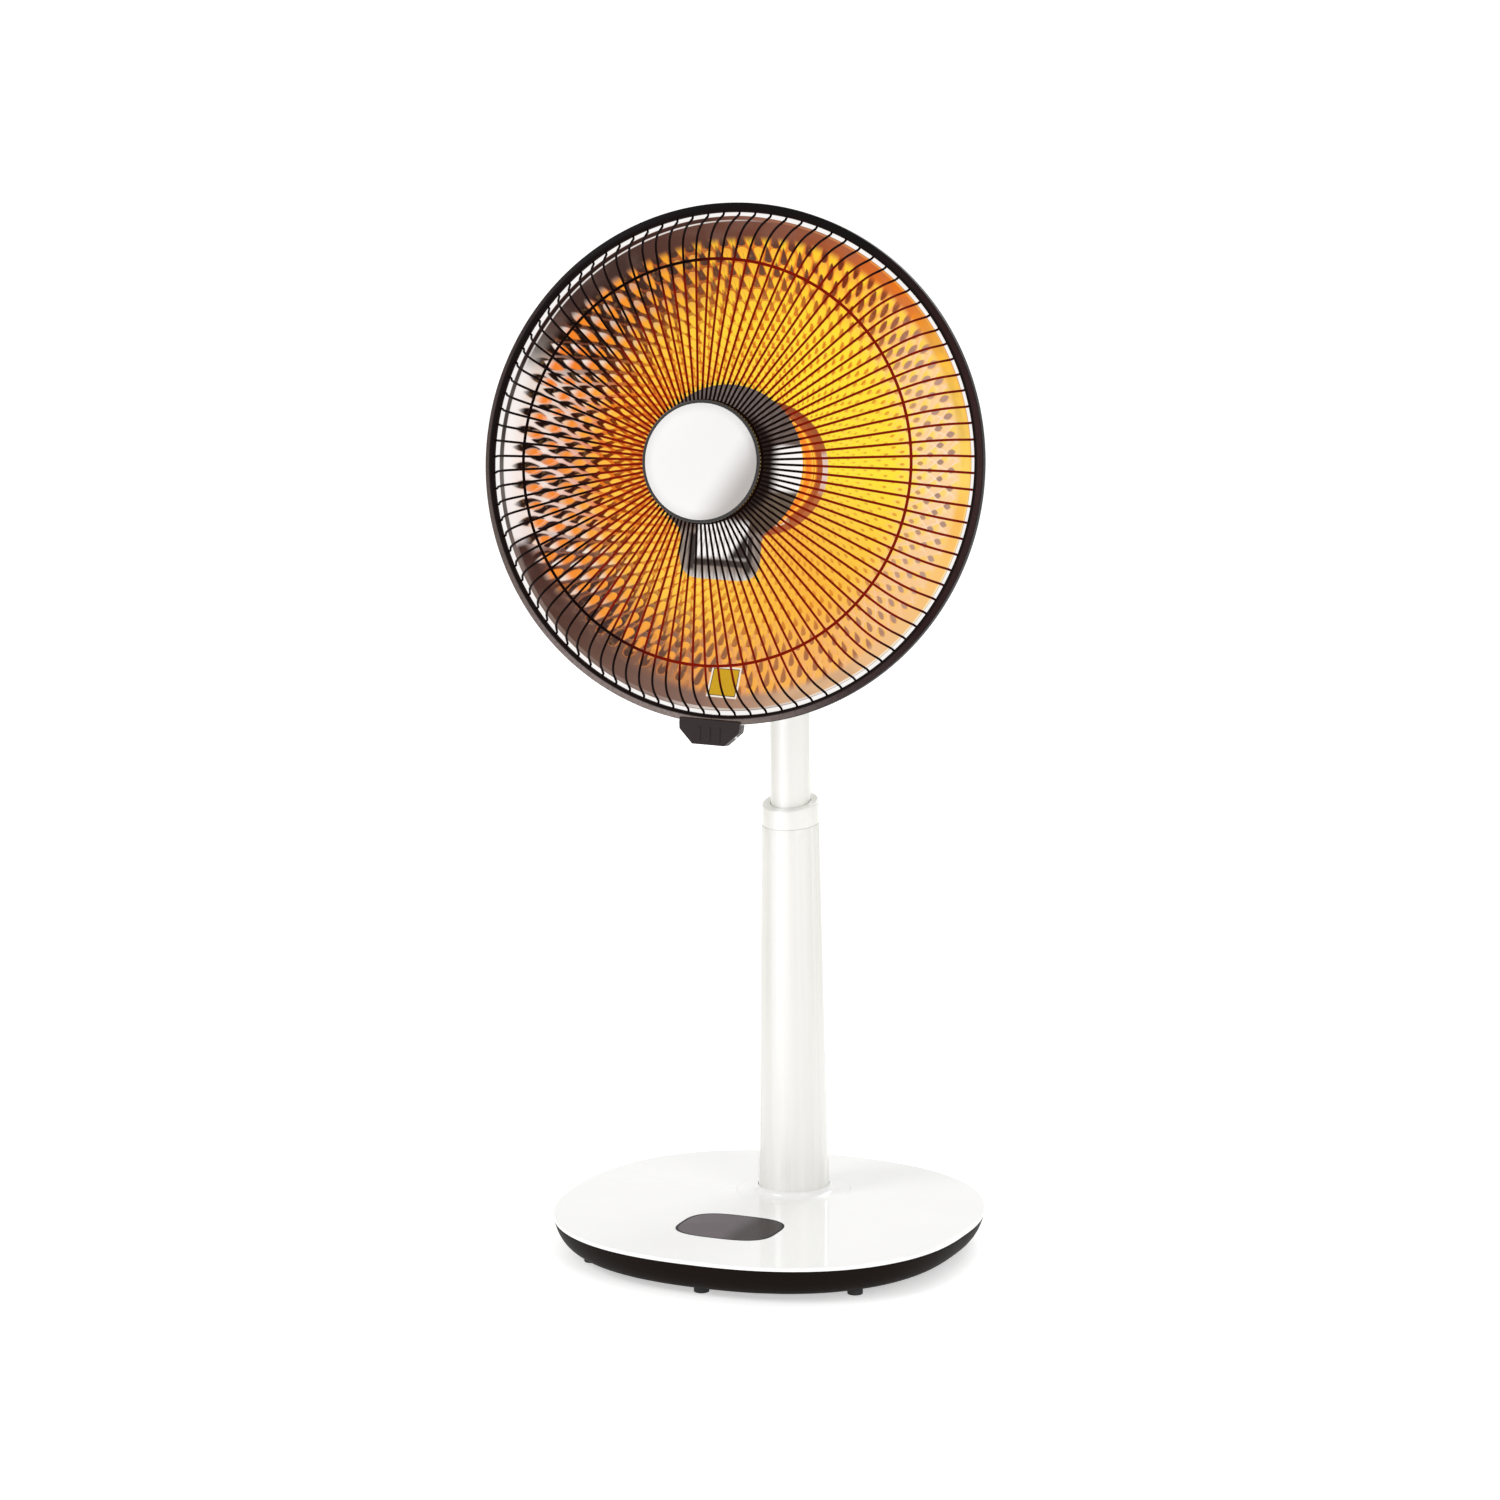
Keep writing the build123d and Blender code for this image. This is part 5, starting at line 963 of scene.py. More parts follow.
def dish_finish(sizes):
    """Pressed mirror sheet with painted reflections of the glowing ring and room, laid by place."""
    material, nodes = surface("dish_finish", Specular_IOR_Level=0.01, Emission_Strength=1.0)
    head = HeadPlace(nodes)
    far, turn = head.far, head.turn
    outer, inner = sizes.facet_outer * PER_METRE, sizes.facet_inner * PER_METRE
    level = (outer / far).maths("LOGARITHM", math.e) * (sizes.rows / math.log(outer / inner))
    column = head.angle * (sizes.columns / TURN)
    depth = level.smooth(*DEPTH_ROWS)
    core = level.smooth(*CORE_ROWS)
    cloud = nodes.noise(34.0, 3.0)
    fine = nodes.noise(240.0, 2.0)
    left = turn.band(*LEFT_SPAN, 0.02)
    west = turn.band(*LEFT_HALF, 0.04)
    (ground, ground_deep, tip, light, light_deep, dark, dark_deep, band_tone, bead, hub) = (
        by_angle(nodes, turn, stops)[0] for stops in (
            GROUND_OUTER, GROUND_INNER, TIP_OUTER, LIGHT_OUTER, LIGHT_INNER, DARK_OUTER, DARK_INNER,
            BAND, BEAD, HUB))
    edge, edge_share = by_angle(nodes, turn, EDGES)
    halo, halo_share = by_angle(nodes, turn, HALO)
    taper_dark, taper_light, glint, blunt = numbers_by_angle(nodes, turn, SHAPES)
    start, edge_shift = numbers_by_angle(nodes, turn, STARTS)[:2]
    start = start * 4 - 0.5
    leaves = []
    for near, deep, taper, soft in ((LIT_OUTER, LIT_INNER, taper_light, 0.13),
                                    (UNLIT_OUTER, UNLIT_INNER, taper_dark, 0.10)):
        pairs = zip(numbers_by_angle(nodes, turn, near), numbers_by_angle(nodes, turn, deep))
        numbers = [a + (b - a) * depth for a, b in pairs]
        leaves.append(leaf_mask(column, level, start, numbers, taper * 2 - 1, blunt, soft))
    (lit, _, lit_place), (unlit, blur, _) = leaves

    # Painted reflection on the facets: ground, glow round unlit leaves, lit and unlit leaves, lines
    tone = nodes.mix((level + left * 2.2).smooth(*GROUND_ROWS), ground, ground_deep)
    tone = nodes.mix(blur * halo_share, tone, halo)
    light = nodes.mix(lit_place.smooth(-0.75, 0.15), nodes.mix(depth, tip, light_deep),
                      nodes.mix(depth, light, light_deep))
    tone = nodes.mix(lit, tone, light)
    dark = nodes.mix(core, nodes.mix(depth, dark, dark_deep), (0.55, 0.10, 0.01))
    tone = nodes.mix(unlit * (1 - core * 0.55) * (1 - lit * west), tone, dark)
    first, second = facet_place(column, level)
    lines = first.maths("ABSOLUTE").maths("MAXIMUM", second.maths("ABSOLUTE")).smooth(0.42, 0.49)
    lines = lines * edge_share * (1 - level.smooth(*EDGE_ROWS)) * (1 - unlit)
    lines = lines * cloud.smooth(0.3, 0.6)
    tone = nodes.mix(lines, tone, edge)
    tone = nodes.mix(fine.smooth(0.5, 0.75) * 0.12, tone, (0.9, 0.5, 0.2))
    band = nodes.mix(cloud.smooth(0.45, 0.7) * 0.3, band_tone, (0.24, 0.15, 0.12))
    band = nodes.mix(turn.band(*WHITE_BAND, 0.008) + turn.band(*WARM_BAND, 0.02), band, band_tone)
    tone = nodes.mix((level - edge_shift + 0.5).smooth(-0.4, 0.2), band, tone)
    # Painted reflection on the bead, a painted glint beside it and a painted dark line at the rim
    tone = nodes.mix(far.smooth(BEAD_RADIUS - 0.3, BEAD_RADIUS + 0.3), tone, bead)
    tone = nodes.mix(far.band(*GLINT_RADII, 0.25) * glint, tone, (0.86, 0.80, 0.76))
    past = far - (RIM_RADIUS + turn.band(*RIM_LEFT, 0.02) * RIM_LEFT_SHIFT)
    tone = nodes.mix(past.band(-0.5, 0.0, 0.25) * 0.7, tone, (0.16, 0.07, 0.05))
    # Painted reflection of the white room on the flange
    flange_reflection = nodes.mix(cloud, (0.86, 0.83, 0.81), (1.0, 0.98, 0.97))
    tone = nodes.mix(past.smooth(-0.2, 0.3), tone, flange_reflection)
    # Painted reflection of the lamp on the hub plate
    tone = nodes.mix(far.smooth(HUB_RADIUS + 0.7, HUB_RADIUS - 0.7), tone, hub)
    for radius, colour in LAMP_IMAGE:
        tone = nodes.mix(far.smooth(radius + 0.5, radius - 0.5), tone, colour)
    tone = nodes.mix(far.band(*LAMP_LINE_RADII, 0.4), tone, LAMP_LINE_COLOUR)
    return feed(material, nodes, Base_Color=nodes.mix(0.985, tone, (0.001, 0.001, 0.001)),
                Emission_Color=tone, Roughness=0.22 + cloud * 0.12)


def wire_finish(colours):
    """Black enamel, with a painted red glow where the lamp lights it from behind."""
    material, nodes = surface("wire_finish", Specular_IOR_Level=0.015, Emission_Strength=1.0)
    head = HeadPlace(nodes)
    # Painted glow of the lamp on the wires, kept out of the shield's painted shade
    reach = numbers_by_angle(nodes, head.turn, WIRE_GLOW_REACH)[0] * HOOP_RIM
    aside = head.right - SHADE_ASIDE
    disc = (aside * aside + head.up * head.up).maths("SQRT").smooth(*SHADE_DISC)
    tab = aside.maths("ABSOLUTE").smooth(*SHADE_SIDE) * head.up.smooth(*SHADE_FOOT)
    tab = tab * head.up.smooth(*SHADE_TOP)
    lit = (head.far - reach).smooth(*GLOW_FADE) * disc * (1 - tab)
    grain = nodes.noise(260.0, 3.0)
    tone = nodes.mix(lit * (0.7 + grain * 0.5), tuple(colours.wire), (0.20, 0.006, 0.001))
    return feed(material, nodes, Base_Color=nodes.mix(0.9, tone, (0.002, 0.001, 0.001)),
                Emission_Color=tone, Roughness=0.4 + grain * 0.15)


def hoop_finish(colours):
    """Semi-gloss black moulding with a painted grey sheen on its lip, most at its lower left."""
    material, nodes = surface("hoop_finish", Specular_IOR_Level=0.03, Emission_Strength=0.85)
    head = HeadPlace(nodes)
    grain = nodes.noise(420.0, 3.0)
    # Painted sheen on the front lip, by angle
    sheen = by_angle(nodes, head.turn, HOOP)[0]
    lip = HOOP_LIP + head.turn.band(*HOOP_LEFT, 0.04)
    front = (head.far - lip).smooth(-0.5, 0.7) * head.far.smooth(HOOP_RIM - 0.1, HOOP_RIM - 0.8)
    tone = nodes.mix(front, (0.006, 0.003, 0.003), sheen)
    tone = nodes.mix(grain.smooth(0.4, 0.7) * 0.25, tone, tuple(colours.black))
    return feed(material, nodes, Base_Color=nodes.mix(0.7, tone, (0.003, 0.003, 0.003)),
                Emission_Color=tone, Roughness=0.34 + grain * 0.12,
                Normal=bumped(nodes, grain, 0.05, 0.0002))


def shield_finish():
    """Mirror tray with a painted reflection of a dim room and of the wires in front of it."""
    material, nodes = surface("shield_finish", Specular_IOR_Level=0.02, Emission_Strength=1.0)
    head = HeadPlace(nodes)
    right, up, far = head.right, head.up, head.far
    cloud = nodes.noise(40.0, 2.0)
    side = right.maths("ABSOLUTE")
    # Painted reflection of the room, the tab and the wires, laid down as emission
    tone = nodes.mix(far.smooth(*MIDDLE_FADE), by_angle(nodes, head.turn, SHIELD)[0],
                     (0.014, 0.008, 0.007))
    bright = up.band(*PATCH_UP) * right.smooth(*PATCH_RIGHT)
    tone = nodes.mix(bright, tone, (0.97, 0.93, 0.91))
    tab_tone = nodes.mix(up.smooth(*TAB_FOOT), (0.70, 0.66, 0.63), (0.30, 0.24, 0.205))
    tone = nodes.mix(up.smooth(*TAB_START), tone, tab_tone)
    foot = up.band(*FRAME_FOOT) * side.smooth(*FRAME_CORNER)
    dark = side.band(*FRAME_SIDE).maths("MAXIMUM", foot)
    dark = dark * up.smooth(*FRAME_TOP) * up.smooth(*FRAME_END)
    tone = nodes.mix(dark * 0.92, tone, (0.03, 0.024, 0.022))
    field = side.smooth(*FIELD_SIDE) * up.smooth(*FIELD_FOOT) * up.smooth(*FIELD_TOP)
    tone = nodes.mix(field, tone, (0.95, 0.92, 0.90))
    slant = (right - SLANT_EDGE - (up + SLANT_FOOT) * SLANT_SLOPE).smooth(*SLANT_FADE)
    tone = nodes.mix(slant * field, tone, (0.045, 0.035, 0.03))
    wire_reflection = ((head.turn * GUARD_WIRES + WIRE_REFLECTION_PHASE).maths("FRACT") - 0.5).maths("ABSOLUTE")
    wire_reflection = wire_reflection.smooth(*WIRE_REFLECTION_FADE) * 0.3
    tone = nodes.mix(wire_reflection * (1 - bright), tone, (0.02, 0.015, 0.013))
    return feed(material, nodes, Base_Color=nodes.mix(0.98, tone, (0.01, 0.01, 0.01)),
                Emission_Color=tone, Roughness=0.18 + cloud * 0.1)


def badge_finish(colours):
    """Satin silver-white with painted shade along its lower right and on its rim."""
    material, nodes = surface("badge_finish", Metallic=0.15, IOR=1.5, Coat_Weight=0.3,
                              Coat_Roughness=0.1)
    head = HeadPlace(nodes)
    side = (head.right * 0.86 - head.up * 0.5) / BADGE_RIM
    # Painted shade on the rim, and along the lower right below
    rim = head.far.smooth(BADGE_SHADE, BADGE_RIM - 0.3) * (0.25 + side.smooth(0.2, 1.0) * 0.45)
    grain = nodes.noise(700.0, 2.0)
    tone = nodes.mix(side.smooth(0.30, 1.0) * 0.7, tuple(colours.badge), (0.16, 0.125, 0.11))
    tone = nodes.mix(rim, tone, (0.4, 0.38, 0.36))
    return feed(material, nodes, Base_Color=tone, Roughness=0.3 + grain * 0.12,
                Normal=bumped(nodes, grain, 0.04, 0.0002))


def glow_finish(name, hot, cool, strength):
    """Glowing quartz whose front and flanks differ in colour."""
    material, nodes = surface(name, Specular_IOR_Level=0.06, Emission_Strength=strength,
                              Base_Color=(0.2, 0.04, 0.01))
    ahead, = nodes.along(RING_CENTRE, HEAD_AXIS)
    grain = nodes.noise(90.0, 3.0)
    tone = nodes.mix(ahead.smooth(*LAMP_FRONT) * (0.8 + grain * 0.4), cool, hot)
    return feed(material, nodes, Emission_Color=tone, Roughness=0.1 + grain * 0.1)


def column_finish(colours):
    """Glossy white tube with soft grey-green shade painted on its sides and painted light at its
    foot.
    """
    material, nodes = surface("column_finish", IOR=1.5, Coat_Weight=0.3, Coat_Roughness=0.05)
    across, along, height = nodes.along(POLE_FOOT, (1, 0, 0), (0, 1, 0), (0, 0, 1))
    # Painted shade and light round the column, and painted light at its foot
    tone = by_angle(nodes, (along.maths("ARCTAN2", across) / TURN).maths("FRACT"), POLE)[0]
    tone = nodes.mix((1 - height.smooth(*COLUMN_FOOT)) * 0.62, tone, (0.92, 0.92, 0.89))
    cloud = nodes.noise(30.0, 2.0)
    return feed(material, nodes, Base_Color=nodes.mix(cloud * 0.3, tone, tuple(colours.white)),
                Roughness=0.15 + cloud * 0.08,
                Normal=bumped(nodes, nodes.noise(800.0, 1.0), 0.02, 0.0002))


def top_finish():
    """Bright glossy white of the base's top, which mirrors the foot of the column."""
    return grained("top_finish", 14.0, 2.0, ((0.92, 0.92, 0.91), (0.94, 0.94, 0.93)), (0.05, 0.03),
                   step=(0.3, 0.75), IOR=1.5, Coat_Weight=0.3, Coat_Roughness=0.03)


def window_finish(colours):
    """Smoked display window with a dark edge and painted shade over its right side."""
    material, nodes = surface("window_finish", Specular_IOR_Level=0.03)
    cloud = nodes.noise(26.0, 4.0)
    places = nodes.along((0, 0, 0), (1, 0, 0), (0, 1, 0))
    tone = nodes.mix(cloud.smooth(0.4, 0.7), tuple(colours.window), shaded(colours.window, 1.2))
    # Painted shade over the window's right side
    tone = nodes.mix(places[0].smooth(*WINDOW_SHADE), tone, (0.045, 0.035, 0.034))
    across, along = (((place - middle) / half).maths("ABSOLUTE").maths("POWER", WINDOW_ROUNDNESS)
                     for place, middle, half in zip(places, WINDOW_CENTRE, WINDOW_HALF))
    tone = nodes.mix((across + along).smooth(*WINDOW_EDGE), tone, (0.008, 0.006, 0.009))
    return feed(material, nodes, Base_Color=tone, Roughness=0.12 + cloud * 0.08)


def plate_finish(colours):
    """Blank yellow plate with a white border and a thin dark outline."""
    # Painted light: the plate glows in its own colours, as if lit by the lamp
    material, nodes = surface("plate_finish", Specular_IOR_Level=0.02, Emission_Strength=0.9)
    grain = nodes.noise(500.0, 3.0)
    across, along, _ = nodes.split(nodes.add("ShaderNodeUVMap", {"uv_map": "plate"}))
    inset = (across - 0.5).maths("ABSOLUTE").maths("MAXIMUM", (along - 0.5).maths("ABSOLUTE"))
    tone = nodes.mix(grain, tuple(colours.plate), shaded(colours.plate, 1.2))
    tone = nodes.mix(inset.smooth(*PLATE_LINE), tone, (0.05, 0.03, 0.01))
    tone = nodes.mix(inset.smooth(*PLATE_BORDER), tone, (0.75, 0.68, 0.60))
    return feed(material, nodes, Base_Color=nodes.mix(0.6, tone, (0.05, 0.04, 0.02)),
                Emission_Color=tone, Roughness=0.35 + grain * 0.2)


# Steps of the pressed grid across a facet, along a row and beyond the pattern, then the rows
# that the grid has beyond the pattern's own, and how many of them lie outside it
FACET_STEPS = 8
ROW_STEPS = 5
EDGE_STEPS = 12
ROWS_BEYOND = 2.35
ROWS_OUTSIDE = 0.99
# In millimetres: where the bowl starts behind the flange's face, and the flange's profile from it
BOWL_DROP = 1.6
FLANGE_INNER = ((187.8, -1.6), (188.9, -1.6), (189.6, 0))
FLANGE_REAR = ((189.0, -1.2), (188.0, -2.6), (187.8, -2.4))
FLANGE_THICK = 1.0
# Rear face of the bowl: how far it lies behind the flange's face, and its radii
REAR_DROP = 3.4
REAR_RADII = (188, 176, 160, 140, 118, 96, 74, 56, 49)
# Blank plate: corners to the right and up on the head, height of its faces over the bowl, its grid
PLATE_CORNERS = ((-9.9, -179.6), (14.8, -179.9), (-12.1, -156.8), (11.6, -156.5))
PLATE_LIFTS = (2.7, 2.3)
PLATE_TILT = 0.9
PLATE_REACH = 190
PLATE_STEPS = 16
# Half the angle between the ends of each lamp tube
LAMP_GAP = math.radians(25)
# Shield: distance inside its outline and level of each ring of its skin, in millimetres
SHIELD_SKIN = (
    (14.8, 4.0), (13.6, 4.15), (12.6, 4.8), (9.4, 8.2), (8.6, 8.85), (7.6, 9.0), (0.7, 9.0),
    (0.1, 8.8), (0.1, 8.3), (0.7, 8.1), (7.4, 8.1), (8.2, 7.95), (12.2, 3.9), (13.4, 3.2),
    (14.8, 3.1))
# Guard wire, middle ring, badge carrier and badge: radii and levels on the head, then bends
WIRE_PATH = ((197.0, -0.2), (191.4, -0.2), (182.0, 22.5), (171.0, 35.6), (153.0, 42.0),
             (42.0, 67.6))
WIRE_BENDS = (4.0, 10.0, 9.0, 12.0)
RING_LEVEL = 39.5
RING_THICK = 1.15
CARRIER = ((0, 68.65), (46.2, 68.65), (46.2, 73.3), (44.2, 73.3), (44.2, 71.8), (0, 71.8))
CARRIER_BENDS = (0, 0.8, 0.7, 0.4, 0.2, 0)
BADGE_REAR = 71.8
BADGE_EDGE = 73.9
BADGE_RISE = 2.5
BADGE_STEPS = 11
# Hoop: half the split at its foot, its section from its outer radius, and the ears of its hinge
HOOP_SPLIT = 0.4
HOOP_SECTION = ((0, -7.0), (0, 2.7), (-6.8, 2.7), (-7.4, -2.0), (-6.2, -2.0), (-5.4, 1.2),
                (-1.6, 1.2), (-1.6, -7.0))
HOOP_BENDS = (0.4, 2.4, 2.2, 0.4, 0.4, 0.8, 0.8, 0.3)
EAR_SECTION = ((198.6, -6.9), (199.9, -6.9), (203.4, -8.9), (207.3, -8.8), (208.5, -11.2),
               (207.3, -13.6), (204.0, -13.9), (198.6, -8.0))
EAR_PLACES = (14.3, -19.0)
EAR_WIDTH = 4.7


def circle(across, height, radius, count):
    """Round section of a ring, in millimetres."""
    turns = [TURN * step / count for step in range(count)]
    return [(across + radius * math.cos(turn), height + radius * math.sin(turn)) for turn in turns]


class Builder:
    """What the operators share: the settings, and an error where a piece fails."""
    bl_options = {"REGISTER", "UNDO"}

    def execute(self, context):
        made = self.build(context.scene.heater)
        for target in made:
            if target.name not in bpy.data.objects:
                raise RuntimeError(self.bl_label + " lost a piece")
        return {"FINISHED"}


class HEATER_OT_stage(Builder, Operator):
    """Floor, light and camera."""
    bl_idname = "heater.stage"
    bl_label = "Stage"

    def build(self, settings):
        bpy.context.scene.view_settings.view_transform = "Standard"
        self.camera()
        self.sky()
        for name, spot, aim, size, power in STUDIO:
            lamp = bpy.data.lights.new(name, "AREA")
            lamp.shape = "DISK"
            lamp.size = size
            lamp.energy = power
            target = linked(name, lamp)
            target.location = spot
            ahead = Vector(aim) - Vector(spot)
            target.rotation_euler = ahead.to_track_quat("-Z", "Y").to_euler()
        return [self.floor()]

    def camera(self):
        """Camera that stands where the photograph was taken from."""
        away = Vector((math.sin(VIEW_TURN), -math.cos(VIEW_TURN), 0))
        ahead = Vector((0, 0, math.sin(VIEW_PITCH))) - away * math.cos(VIEW_PITCH)
        level = Vector((math.cos(VIEW_TURN), math.sin(VIEW_TURN), 0))
        above = level.cross(ahead)
        right = level * math.cos(VIEW_LEAN) + above * math.sin(VIEW_LEAN)
        top = above * math.cos(VIEW_LEAN) - level * math.sin(VIEW_LEAN)
        data = bpy.data.cameras.new("view")
        data.sensor_width = VIEW_SENSOR
        data.lens = VIEW_LENS
        data.clip_end = VIEW_REACH
        camera = linked("view", data)
        place = away * VIEW_DISTANCE + Vector((0, 0, VIEW_HEIGHT)) - level * VIEW_ASIDE
        camera.matrix_world = axes(right, top, -ahead, place)
        bpy.context.scene.camera = camera

    def sky(self):
        """White surroundings, brighter where they are seen or mirrored than as light."""
        world = bpy.data.worlds.new("studio")
        bpy.context.scene.world = world
        world.use_nodes = True
        tree = world.node_tree
        tree.nodes.clear()
        nodes = Nodes(tree)
        seen = nodes.add("ShaderNodeLightPath")
        mirrored = Value(nodes, seen.socket.node.outputs["Is Glossy Ray"])
        sky = nodes.add("ShaderNodeBackground", None, {
            "Color": (1.0, 0.995, 0.985),
            "Strength": SKY_LIGHT + seen * SKY_SEEN + mirrored * SKY_MIRRORED})
        output = tree.nodes.new("ShaderNodeOutputWorld")
        tree.links.new(sky.socket, output.inputs[0])

    def floor(self):
        """Plain pale floor of rings that widen outwards."""
        material, nodes = surface("floor_finish", Roughness=0.6, Emission_Color=(1, 1, 1),
                                  Emission_Strength=0.5)
        cloud = nodes.noise(3.0, 2.0)
        tone = nodes.mix(cloud, (0.93, 0.93, 0.93), (0.95, 0.95, 0.95))
        feed(material, nodes, Base_Color=tone)
        turns = [TURN * step / FLOOR_SIDES for step in range(FLOOR_SIDES)]
        points = [(ring * math.cos(turn), ring * math.sin(turn), 0)
                  for ring in FLOOR_RADII for turn in turns]
        faces = [(step, (step + 1) % FLOOR_SIDES, len(points)) for step in range(FLOOR_SIDES)]
        faces += skin(len(FLOOR_RADII), FLOOR_SIDES)
        floor = piece("floor", points + [(0, 0, 0)], faces,
                      Matrix.Translation((0, 0, -FLOOR_DROP)), material)
        return floor


class HEATER_OT_reflector(Builder, Operator):
    """Pressed dish with its flange, and the blank plate on its lower wall."""
    bl_idname = "heater.reflector"
    bl_label = "Reflector"

    def build(self, settings):
        sizes = settings.dish
        finish = dish_finish(sizes)

        def pressed(nodes, geometry, fields):
            grid = nodes.add("GeometryNodeMeshGrid", None, {
                "Size X": 1.0, "Size Y": 1.0, "Vertices X": fields["Columns"] * FACET_STEPS + 1,
                "Vertices Y": fields["Rows"] * ROW_STEPS + EDGE_STEPS})
            share, along, _ = nodes.split(nodes.add("GeometryNodeInputPosition"))
            share = share + 0.5
            level = (along + 0.5) * (fields["Rows"] + ROWS_BEYOND) - ROWS_OUTSIDE
            ratio = (fields["Outer"] / fields["Inner"]).maths("LOGARITHM", math.e)
            radius = fields["Outer"] * (level * ratio / fields["Rows"] * -1).maths("EXPONENT")
            first, second = facet_place(share * fields["Columns"], level)
            across = (first + second).maths("ABSOLUTE")
            through = first - second
            lens = (1 - across - through * through).maths("MAXIMUM", 0)
            last = level.smooth(fields["Rows"] - 0.3, fields["Rows"] + 0.1)
            inside = level.smooth(-0.2, 0.4) * (1 - last)
            lift = lens * inside * fields["Relief"] * radius * TURN / fields["Columns"]
            rim = fields["Rim"]
            sunk = (rim * rim - radius * radius) / (fields["Focal"] * 4)
            height = fields["Level"] - sunk + lift
            angle = share * TURN
            place = nodes.add("ShaderNodeCombineXYZ", None, {
                0: radius * angle.maths("COSINE"), 1: radius * angle.maths("SINE"), 2: height})
            moved = nodes.add("GeometryNodeSetPosition", None,
                              {"Geometry": grid, "Position": place})
            return nodes.add("GeometryNodeMergeByDistance", None,
                             {"Geometry": moved, "Distance": WELD * 10})

        bowl = generated("bowl", finish, {
            "Columns": sizes.columns, "Rows": sizes.rows, "Outer": sizes.facet_outer,
            "Inner": sizes.facet_inner, "Focal": sizes.focal, "Rim": sizes.bowl_radius,
            "Level": sizes.flange_level - BOWL_DROP * MM, "Relief": sizes.relief}, pressed)
        edge, face = sizes.flange_radius * PER_METRE, sizes.flange_level * PER_METRE
        profile = (*FLANGE_INNER, (edge, 0), (edge, -FLANGE_THICK), *FLANGE_REAR)
        flange = turned("flange", rounded([(radius, face + height) for radius, height in profile],
                                          0.3, 3), 360, finish)
        rear = [(radius, face - REAR_DROP - self.depth(sizes, radius ** 2))
                for radius in REAR_RADII]
        back = turned("back", rear, 180, plain("dull_metal"), closed=False)
        reflector = joined("reflector_dish", [bowl, flange, back])
        dress(finish, "hub_plate")
        mount(reflector, "head", "reflector_aluminium", "reflector")
        made = [reflector]
        if settings.show_plate:
            made.append(self.plate(settings))
        return made

    def depth(self, sizes, square):
        """How far the bowl lies below its edge at a squared radius, in millimetres."""
        return ((sizes.bowl_radius * PER_METRE) ** 2 - square) / (4 * sizes.focal * PER_METRE)

    def plate(self, settings):
        """Sheet that follows the wall of the dish between four corners."""
        sizes = settings.dish
        face = sizes.flange_level * PER_METRE - BOWL_DROP
        corners = [Vector(corner) for corner in PLATE_CORNERS]
        count = PLATE_STEPS
        points = []
        faces = []
        for lift in PLATE_LIFTS:
            for row in range(count + 1):
                for step in range(count + 1):
                    low = corners[0].lerp(corners[1], step / count)
                    high = corners[2].lerp(corners[3], step / count)
                    spot = low.lerp(high, row / count)
                    level = face - self.depth(sizes, spot.length_squared) + lift
                    level += PLATE_TILT * (1 - spot.length / PLATE_REACH)
                    points.append((spot.x * MM, spot.y * MM, level * MM))
        span = (count + 1) ** 2
        for row in range(count):
            for step in range(count):
                low = row * (count + 1) + step
                quad = (low, low + 1, low + count + 2, low + count + 1)
                faces.append(quad)
                faces.append(tuple(span + index for index in reversed(quad)))
        onward, back = range(count), range(count, 0, -1)
        ring = [(0, step) for step in onward] + [(row, count) for row in onward]
        ring += [(count, step) for step in back] + [(row, 0) for row in back]
        loop = [row * (count + 1) + step for row, step in ring]
        for first, second in zip(loop, loop[1:] + loop[:1]):
            faces.append((second, first, first + span, second + span))
        plate = piece("blank_plate", points, faces, HEAD, plate_finish(settings.colours))
        layer = plate.data.uv_layers.new(name="plate")
        for corner in plate.data.loops:
            index = corner.vertex_index % span
            row, step = divmod(index, count + 1)
            layer.data[corner.index].uv = (step / count, row / count)
        return mount(plate, "head", "reflector_aluminium")


class HEATER_OT_lamp(Builder, Operator):
    """Two ring tubes side by side, with their ceramic ends."""
    bl_idname = "heater.lamp"
    bl_label = "Lamp"

    def build(self, settings):
        sizes = settings.lamp
        glass = glow_finish("lamp_glow", (0.86, 0.25, 0.02), (1.0, 0.52, 0.06), 1.0)
        tubes = []
        for side in (-0.5, 0.5):
            outline = circle((sizes.ring_radius + side * sizes.pitch) * PER_METRE,
                             sizes.level * PER_METRE, sizes.tube_radius * PER_METRE, 20)
            tubes.append(turned("tube", outline, 150, glass, start=-TURN / 4 + LAMP_GAP,
                                sweep=TURN - 2 * LAMP_GAP))
        lamp = mount(joined("lamp_rings", tubes), "head", "lamp_glass", "lamp_tubes")
        filament = glow_finish("filament_glow", (1.0, 0.8, 0.3), (1.0, 0.4, 0.05), 1.5)
        dress(filament, "lamp_filaments")
        ends = softened("lamp_end_caps", "lamp_ends", plain("white_ceramic"), 0.6)
        mount(ends, "head", "ceramic", "lamp_end_caps")
        return [lamp, ends]


class HEATER_OT_shield(Builder, Operator):
    """Keyhole-shaped tray in front of the lamp, on its posts."""
    bl_idname = "heater.shield"
    bl_label = "Shield"

    def build(self, settings):
        rings = [[(x, y, level) for x, y in keyhole(inset)] for inset, level in SHIELD_SKIN]
        tray = stacked("shield_tray", rings, shield_finish(), angle=50)
        mount(tray, "head", "shield_mirror", "shield_plate")
        posts = softened("shield_posts", "shield_stems", plain("turned_steel"), 0.3)
        mount(posts, "head", "steel", "shield_posts")
        return [tray, posts]


